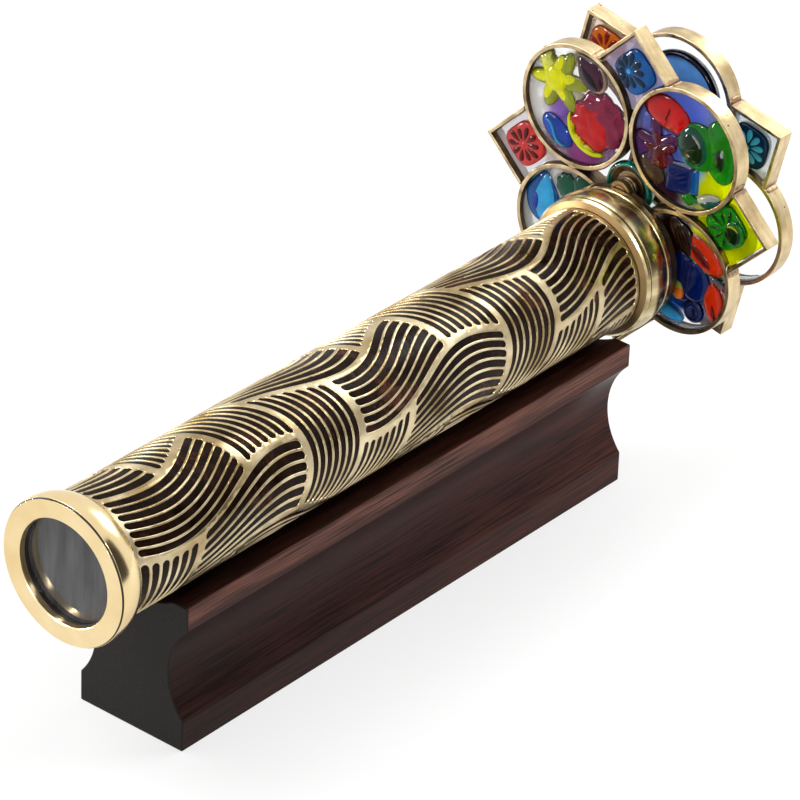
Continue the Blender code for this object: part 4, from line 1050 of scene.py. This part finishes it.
# Each charm: kind, glass, then shares of the resin's radius that give its place across and up, its
# half width and half height, its turn in degrees and its layer, counted forwards.
CHARMS = {
    "near_lens_upper_left": (
        ("starfish", "olive", -0.42, 0.31, 0.60, 0.60, -6, 0),
        ("starfish", "yellow", -0.50, 0.33, 0.48, 0.48, -10, 1),
        ("cabochon", "yellow", -0.46, 0.34, 0.24, 0.24, 0, 2),
        ("chip", "lemon", -0.66, 0.62, 0.17, 0.19, 20, 1),
        # Painted highlight: a rim of peach glass shows round the damson drop's edge.
        ("drop", "peach", 0.21, 0.66, 0.28, 0.38, -46, 0),
        ("drop", "damson", 0.21, 0.66, 0.26, 0.35, -46, 1),
        ("drop", "ink", 0.20, 0.62, 0.13, 0.29, -46, 2),
        ("berry", "plum", 0.45, -0.14, 0.51, 0.50, 0, 0),
        ("berry", "red", 0.31, -0.27, 0.42, 0.44, 20, 1),
        ("crescent", "pine", 0.40, -0.16, 0.60, 0.60, 0, -1),
        ("crescent", "yellow", 0.43, -0.13, 0.58, 0.60, 0, 2),
        ("cabochon", "cobalt", -0.40, -0.60, 0.21, 0.36, -57, 0),
        # Painted highlight: a line of sky glass curls along the cobalt piece.
        ("squiggle", "sky", -0.41, -0.62, 0.11, 0.31, -55, 2),
    ),
    "near_lens_upper_right": (
        ("cabochon", "maroon", -0.44, 0.50, 0.48, 0.31, 12, -1),
        ("cabochon", "red", -0.43, 0.53, 0.45, 0.29, 12, 0),
        ("cabochon", "red", -0.20, 0.45, 0.25, 0.25, 0, 0),
        ("squiggle", "garnet", -0.36, 0.52, 0.045, 0.15, 0, 2),
        ("star", "purple", -0.56, -0.10, 0.46, 0.48, -30, 0),
        ("star", "maroon", -0.50, -0.20, 0.34, 0.36, -30, 1),
        ("cabochon", "garnet", -0.48, -0.28, 0.15, 0.23, -10, 2),
        ("cabochon", "green", 0.66, 0.18, 0.33, 0.56, -8, 0),
        ("cabochon", "green", 0.25, 0.14, 0.43, 0.42, -20, 1),
        ("cabochon", "bottle", 0.20, 0.14, 0.35, 0.37, -20, 2),
        ("cabochon", "pine", 0.18, 0.12, 0.27, 0.30, -20, 3),
        # Painted highlight: a crescent of clear glass on the dark green ball.
        ("crescent", "clear", 0.17, 0.13, 0.17, 0.22, 180, 4),
        ("cabochon", "pine", 0.70, 0.10, 0.14, 0.27, -5, 1),
        # Painted glints: specks of clear glass on the dark green lobe and on the ball.
        ("cabochon", "clear", 0.75, 0.22, 0.04, 0.09, 0, 2),
        ("cabochon", "clear", 0.12, -0.02, 0.05, 0.03, 30, 3),
        ("gem", "azure", 0.05, -0.55, 0.46, 0.54, 40, -1),
        ("chip", "green", 0.12, -0.82, 0.18, 0.15, 0, 0),
        ("gem", "navy", -0.09, -0.54, 0.52, 0.60, 42, 1),
        ("cabochon", "umber", -0.65, -0.57, 0.20, 0.30, -52, 0),
        ("cabochon", "clear", 0.50, -0.72, 0.25, 0.10, -22, 0),
        ("cabochon", "bottle", 0.55, -0.77, 0.21, 0.09, -22, 1),
    ),
    "near_lens_lower_right": (
        ("chip", "treacle", -0.12, 0.60, 0.42, 0.36, 0, 0),
        ("cabochon", "treacle", 0.10, 0.62, 0.20, 0.30, -30, 1),
        ("cabochon", "olive", 0.48, 0.45, 0.46, 0.27, 32, -1),
        ("cabochon", "ember", 0.49, 0.46, 0.44, 0.24, 32, 0),
        ("cabochon", "garnet", 0.47, 0.44, 0.28, 0.11, 38, 2),
        ("cabochon", "smoke", 0.80, 0.10, 0.20, 0.06, 18, 1),
        ("cabochon", "ember", 0.74, -0.34, 0.20, 0.36, -10, 0),
        ("cabochon", "garnet", 0.78, -0.46, 0.04, 0.16, -10, 2),
        ("cabochon", "navy", 0.02, -0.10, 0.44, 0.46, 0, 0),
        ("cabochon", "navy", 0.33, -0.08, 0.32, 0.38, 0, 1),
        ("cabochon", "olive", 0.04, -0.30, 0.14, 0.20, 0, 2),
        ("cabochon", "orange", 0.08, -0.35, 0.10, 0.14, 0, 3),
        ("ring", "navy", 0.36, -0.62, 0.20, 0.21, 0, 1),
        ("cabochon", "sky", -0.16, -0.80, 0.32, 0.12, 14, 0),
    ),
    "near_lens_lower_left": (
        ("drop", "azure", -0.62, 0.30, 0.36, 0.50, 4, 0),
        ("drop", "sky", -0.57, 0.30, 0.25, 0.46, 2, 1),
        ("cabochon", "cobalt", -0.72, 0.20, 0.09, 0.20, 10, 2),
        ("melon", "bottle", -0.13, 0.66, 0.24, 0.25, 0, 0),
        ("melon", "bottle", 0.20, 0.74, 0.24, 0.24, 0, 0),
        ("star", "orange", 0.30, -0.10, 0.32, 0.32, 0, 0),
        ("cabochon", "plum", -0.20, -0.58, 0.34, 0.20, -15, 0),
    ),
    "far_lens_top": (
        ("hoop", "midnight", 0.0, 0.0, 0.77, 0.77, 0, 0),
        ("cabochon", "blue", 0.0, 0.0, 0.70, 0.70, 0, 0),
    ),
    "far_lens_left": (
        ("cabochon", "mauve", 0.05, -0.26, 0.60, 0.60, 0, 0),
        ("star", "lemon", -0.30, 0.40, 0.30, 0.30, 0, 0),
    ),
    "far_lens_bottom": (
        ("blossom", "teal", 0.10, 0.10, 0.50, 0.50, 0, 0),
        ("cabochon", "lime", -0.40, -0.50, 0.26, 0.20, 0, 0),
    ),
    "far_lens_right": (
        ("cabochon", "teal", -0.50, 0.30, 0.30, 0.34, 0, 0),
        ("drop", "cobalt", 0.30, -0.30, 0.22, 0.40, 30, 0),
    ),
}
TINTS = {  # each spot's place across and up, its reach, its colour and how much body it has
    "near_lens_upper_left": (
        (-0.75, 0.0, 0.95, (255, 255, 253), 0.5),
        (-0.38, -0.22, 0.42, (140, 105, 185), 0.45),
        (0.15, -0.85, 0.60, (170, 90, 155), 0.45),
        (-0.16, 0.78, 0.20, (175, 172, 140), 0.3),
    ),
    "near_lens_upper_right": (
        (-0.25, 0.30, 1.30, (105, 130, 240), 0.4),
        (-0.85, -0.30, 0.60, (112, 70, 140), 0.45),
        (-0.35, -0.90, 0.50, (70, 42, 52), 0.45),
        (0.66, -0.58, 0.85, (245, 255, 5), 0.5),
        (0.15, -0.30, 0.30, (150, 225, 250), 0.5),
    ),
    "near_lens_lower_right": (
        (0.0, -0.30, 0.95, (25, 80, 165), 0.4),
        (-0.2, 0.60, 0.70, (52, 22, 10), 0.45),
        (0.38, 0.80, 0.30, (240, 240, 30), 0.5),
        (0.25, -0.95, 0.35, (250, 250, 250), 0.12),
    ),
    "near_lens_lower_left": (
        (-0.3, -0.1, 1.6, (240, 242, 240), 0.4),
        (0.10, 0.75, 0.60, (205, 192, 192), 0.4),
    ),
    "far_lens_left": ((0.0, -0.1, 1.0, (236, 226, 244), 0.2),),
    "far_lens_bottom": ((0.0, 0.2, 1.0, (200, 232, 222), 0.3),),
}


def cast_resin(name, centre, radius, tints):
    """Clear casting resin with soft clouds of tint at places given in shares of the radius. A cloud
    with more body is less clear."""
    clarity = 0.95
    made = finish(
        f"{name}_resin_cast",
        ((0.96, 0.965, 0.97), (0.99, 0.99, 0.99)),
        (0.06, 0.14),
        grain=(160, 160, 160),
        bump=0.2,
        depth=0.3 * MM,
        IOR=1.06,
        Transmission_Weight=clarity,
    )
    tree = made.node_tree
    flat = node(tree, "ShaderNodeVectorMath", {0: where(tree), 1: (1, 0, 1)}, operation="MULTIPLY")
    colour = own_tones(tree)
    for across, up, size, tint, body in tints:
        spot = (centre[0] + across * radius, 0, centre[1] + up * radius)
        ends = {0: flat.outputs[0], 1: spot}
        away = node(tree, "ShaderNodeVectorMath", ends, operation="DISTANCE").outputs["Value"]
        cloud = remap(tree, away, size * radius, 0.35 * size * radius, interpolation_type="SMOOTHSTEP")
        colour = lay(tree, colour, (*srgb(*tint), 1), cloud)
        mixed = node(tree, "ShaderNodeMix", {0: cloud, 2: clarity, 3: 1 - body}, data_type="FLOAT")
        clarity = mixed.outputs[0]
    if tints:
        feed(tree, "Base Color", colour)
        feed(tree, "Transmission Weight", clarity)
    return made


def gather(name, parts):
    """One object from several charms, each with its kind, its glass, where its middle is, its half
    width, half depth and half height, and its turn in degrees."""
    shape = bmesh.new()
    glasses = list(dict.fromkeys(part[1] for part in parts))
    for kind, glass, x, y, z, wide, deep, tall, turn in parts:
        one = charm(kind)
        bmesh.ops.scale(one, verts=one.verts, vec=(wide, tall, deep))
        bmesh.ops.rotate(one, verts=one.verts, matrix=Matrix.Rotation(math.pi / 2, 3, "X"))
        bmesh.ops.rotate(one, verts=one.verts, matrix=Matrix.Rotation(math.radians(turn), 3, "Y"))
        bmesh.ops.translate(one, verts=one.verts, vec=(x, y, z))
        for face in one.faces:
            face.material_index = glasses.index(glass)
        bmesh.ops.recalc_face_normals(one, faces=one.faces)
        mesh = bpy.data.meshes.new(kind)
        one.to_mesh(mesh)
        one.free()
        shape.from_mesh(mesh)
        bpy.data.meshes.remove(mesh)
    piece = add(name, shape)
    for glass in glasses:
        piece.data.materials.append(GLASS[glass])
    return piece


for wheel, (rings, strips) in WHEELS.items():
    cast_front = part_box(f"{wheel}_ring_{rings[0]}")[0][1] + GLASS_RECESS
    back = cast_front + LENS_DEPTH
    radius = RING_BORE - CAST_GAP
    flat, swell, widest = radius - CAST_FLAT, radius - CAST_SWELL[0], radius + CAST_CREEP
    profile = [(0, back), (flat, back), (widest, back + CAST_RISE), (widest, cast_front - CAST_RISE)]
    profile += [(swell, cast_front - CAST_SWELL[1]), (flat, cast_front), (0, cast_front)]
    for place_name in rings:
        name = f"{wheel}_lens_{place_name}"
        centre = middle_of(f"{wheel}_ring_{place_name}")
        casting = add(f"{name}_casting", lathe(profile, 96, centre))
        casting.data.materials.append(cast_resin(name, centre, radius, TINTS.get(name, ())))
        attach(casting, f"{wheel}_wheel")
        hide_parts(name)
        parts = []
        for kind, glass, across, up, wide, tall, turn, layer in CHARMS[name]:
            at = centre + Vector((across, up)) * radius
            seat = cast_front + CHARM_SINK - layer * LAYER
            parts.append((kind, glass, at.x, seat, at.y, wide * radius, CHARM_DEPTH, tall * radius, turn))
        charms = gather(f"{name}_charms", parts)
        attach(charms, f"{wheel}_wheel")

# Tiles. Clear resin fills each place between two rings and a strip. A pillow of pressed glass is set
# in it, and petals of a deeper glass run out from a bead in the pillow's middle.
TILE_TIP = 1.5 * MM  # width of the resin's inner end, between two rings
PETALS = 10
PILLOW_HALF = 6.7 * MM
TILES = {  # pillow, petals, bead, tint, the pillow's shift along and aside, petal width, bead's shift
    "near": {
        "right": ("green", "pine", "pine", (245, 255, 10), -3.4 * MM, 0.6 * MM, 0.09, 1.0 * MM),
        "top": ("azure", "petrol", "sky", (226, 218, 246), -1.2 * MM, -0.2 * MM, 0.24, -1.8 * MM),
        "left": ("rose", "garnet", "rose", (250, 246, 248), -0.9 * MM, -0.4 * MM, 0.19, 0.0),
        "bottom": ("orange", "amber", "yellow", (250, 247, 240), -0.8 * MM, 0.0, 0.18, 0.0),
    },
    "far": {
        "upper_right": ("petrol", "cyan", "cyan", (240, 247, 250), -1.4 * MM, 0.0, 0.21, 0.0),
        "upper_left": ("orange", "amber", "orange", (252, 240, 225), -0.2 * MM, 0.6 * MM, 0.19, 0.0),
        "lower_left": ("smoke", "clear", "clear", (248, 246, 246), -0.8 * MM, 0.0, 0.18, 0.0),
        "lower_right": ("plum", "purple", "mauve", (242, 238, 246), -0.8 * MM, 0.0, 0.18, 0.0),
    },
}
DIMPLED = "near_tile_right"  # has a deep round dimple beside its bead, with a painted highlight along its edge
DIMPLE = {  # shift across from the bead, place in front, half width, depth and height in mm, and turn
    ("cabochon", "green"): (2.4, 0.8, 4.1, 1.5, 4.4, 0),
    ("cabochon", "pine"): (2.5, 0.9, 3.5, 1.6, 3.8, 0),
    # Painted highlight: a crescent of lime glass along the dimple's edge.
    ("crescent", "lime"): (2.5, 2.2, 2.6, 0.25, 2.9, 150),
}
DIMPLE_DROP = 0.8 * MM  # below the bead
PILLOW_DEPTH, PETAL_DEPTH, BEAD_DEPTH = 2.1 * MM, 0.7 * MM, 0.6 * MM  # half of each
PILLOW_SINK, PETAL_LIFT, BEAD_LIFT = 0.5 * MM, 1.25 * MM, 1.3 * MM  # of their middles from the tile's front
PILLOW_OUT = 4.5 * MM  # from halfway between the rings' middles and the strip's corner
BEAD_SHARE = 0.13  # of the pillow's half size
TILE_GAP, TILE_EDGE = 0.3 * MM, 0.15 * MM
corner = BEND_INSIDE - math.sqrt(2) * TILE_GAP
ring_at, clear_of = Vector((RING_OFF, RING_OFF)), RING_RADIUS + TILE_GAP
meets = strip_end(corner, TILE_GAP) - ring_at
start, stop = math.atan2(meets.y, meets.x), -math.asin((RING_OFF - TILE_TIP / 2) / clear_of)
bow = [start + (stop - start) * k / 14 for k in range(15)]
side = [Vector((math.cos(a), math.sin(a))) * clear_of + ring_at for a in bow]
tile_edge = [(corner, 0), *side, *[(p.x, -p.y) for p in reversed(side)]]
for wheel, (rings, strips) in WHEELS.items():
    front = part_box(f"{wheel}_ring_{rings[0]}")[0][1] + GLASS_RECESS
    for ring_name, place_name in zip(rings, strips):
        name = f"{wheel}_tile_{place_name}"
        pillow, petal, bead, tint, along, aside, thin, off = TILES[wheel][place_name]
        angle = bearing(middle_of(f"{wheel}_ring_{ring_name}")) - math.pi / 4
        shape = slab(tile_edge, front, front + LENS_DEPTH)
        swing(shape, angle)
        tile = add(f"{name}_block", shape)
        ease(tile, TILE_EDGE, 2)
        middle = (corner + RING_OFF) / 2 + PILLOW_OUT
        centre = HUB + Matrix.Rotation(angle, 2) @ Vector((middle + along, aside))
        tile.data.materials.append(cast_resin(name, centre, RING_BORE, ((0, 0, 3.0, tint, 0.34),)))
        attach(tile, f"{wheel}_wheel")
        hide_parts(name)
        lean = 45 - math.degrees(angle)
        half = PILLOW_HALF
        place = (centre.x, front + PILLOW_SINK, centre.y)
        parts = [("pillow", pillow, *place, half, PILLOW_DEPTH, half, lean)]
        middle = centre + Vector((off, 0))
        for k in range(PETALS):
            turn = 360 * k / PETALS + 8
            room = 0.93 * (half + off * math.sin(math.radians(turn))) - 0.10 * half
            reach = min(0.42 * half * (1 + 0.16 * math.cos(k * 2.4)), room / 2)
            at = middle - Matrix.Rotation(math.radians(-turn), 2) @ Vector((0, 0.10 * half + reach))
            place = (at.x, front - PETAL_LIFT, at.y)
            parts.append(("petal", petal, *place, thin * half, PETAL_DEPTH, reach, turn))
        bead_half = BEAD_SHARE * half
        place = (middle.x, front - BEAD_LIFT, middle.y)
        parts.append(("cabochon", bead, *place, bead_half, BEAD_DEPTH, bead_half, 0))
        if name == DIMPLED:
            for looks, (shift, ahead, wide, deep, tall, turn) in DIMPLE.items():
                place = (middle.x + shift * MM, front - ahead * MM, middle.y - DIMPLE_DROP)
                parts.append((*looks, *place, wide * MM, deep * MM, tall * MM, turn))
        flower = gather(f"{name}_flower", parts)
        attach(flower, f"{wheel}_wheel")

# Hubs. A grooved brass bush with a dished flange runs on the axle. A rounded rim of teal glass lies
# round the flange, held by the four cells.
HUB_DISH = 7.2 * MM  # radius of the flange
HUB_FRONT, HUB_BACK = 1.6 * MM, 0.6 * MM  # of the flange from the glass's front and its back
HUB_HOLLOW = 0.6 * MM
HUB_LAP = 0.2 * MM  # of the flange into the bush
LIP_WIDTH, LIP_HEIGHT = 0.25 * MM, 0.7 * MM
RIM_CROWN = 0.6 * MM
RIM_GAP = 0.05 * MM
hub_glass = finish(
    "teal_glass_rim",
    (srgb(0, 90, 75), srgb(30, 165, 140)),
    (0.03, 0.08),
    grain=(260, 260, 260),
    bump=0.3,
    Transmission_Weight=0.5,
    IOR=1.2,
    Coat_Weight=1.0,
)
for wheel in WHEELS:
    low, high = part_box(f"{wheel}_hub_bush")
    glass_low, glass_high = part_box(f"{wheel}_hub_glass")
    flange_front, flange_back = glass_low[1] + HUB_FRONT, glass_high[1] - HUB_BACK
    bush = add(f"{wheel}_bush_turning", lathe(ridged(low, high, 2), 64, axle_line))
    bush.data.materials.append(toned_brass)
    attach(bush, f"{wheel}_wheel")
    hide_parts(f"{wheel}_hub_bush")
    dish = [
        (HUB_DISH, flange_back, SMOOTH),
        (HUB_DISH, flange_front - HUB_HOLLOW, SMOOTH),
        (high[0], flange_front, SMOOTH),
        (high[0] - HUB_LAP, flange_back),
    ]
    lip = [
        (HUB_DISH, flange_front),
        (HUB_DISH, flange_front - LIP_HEIGHT, CRISP),
        (HUB_DISH - LIP_WIDTH, flange_front - LIP_HEIGHT, CRISP),
        (HUB_DISH - LIP_WIDTH, flange_front),
    ]
    # The dish is of the dark brass that also paints shade on the frames.
    for label, outline, metal in (("dish", dish, dark_brass_and_painted_shade), ("lip", lip, band_brass)):
        turning = add(f"{wheel}_hub_{label}", lathe(outline, 96, axle_line))
        turning.data.materials.append(metal)
        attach(turning, f"{wheel}_wheel")
    brow, bore = glass_high[0] - RIM_CROWN, HUB_DISH + RIM_GAP
    bow = arc((brow, glass_high[1]), (brow, glass_low[1]), RIM_CROWN, 12)
    profile = [(bore, glass_high[1], SOFT), *bow, (bore, glass_low[1], SOFT)]
    rim = add(f"{wheel}_glass_ring", lathe(profile, 96, axle_line))
    rim.data.materials.append(hub_glass)
    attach(rim, f"{wheel}_wheel")
    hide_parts(f"{wheel}_hub_glass")

[[list(corner) for corner in box] for box in (cad_box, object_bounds())]
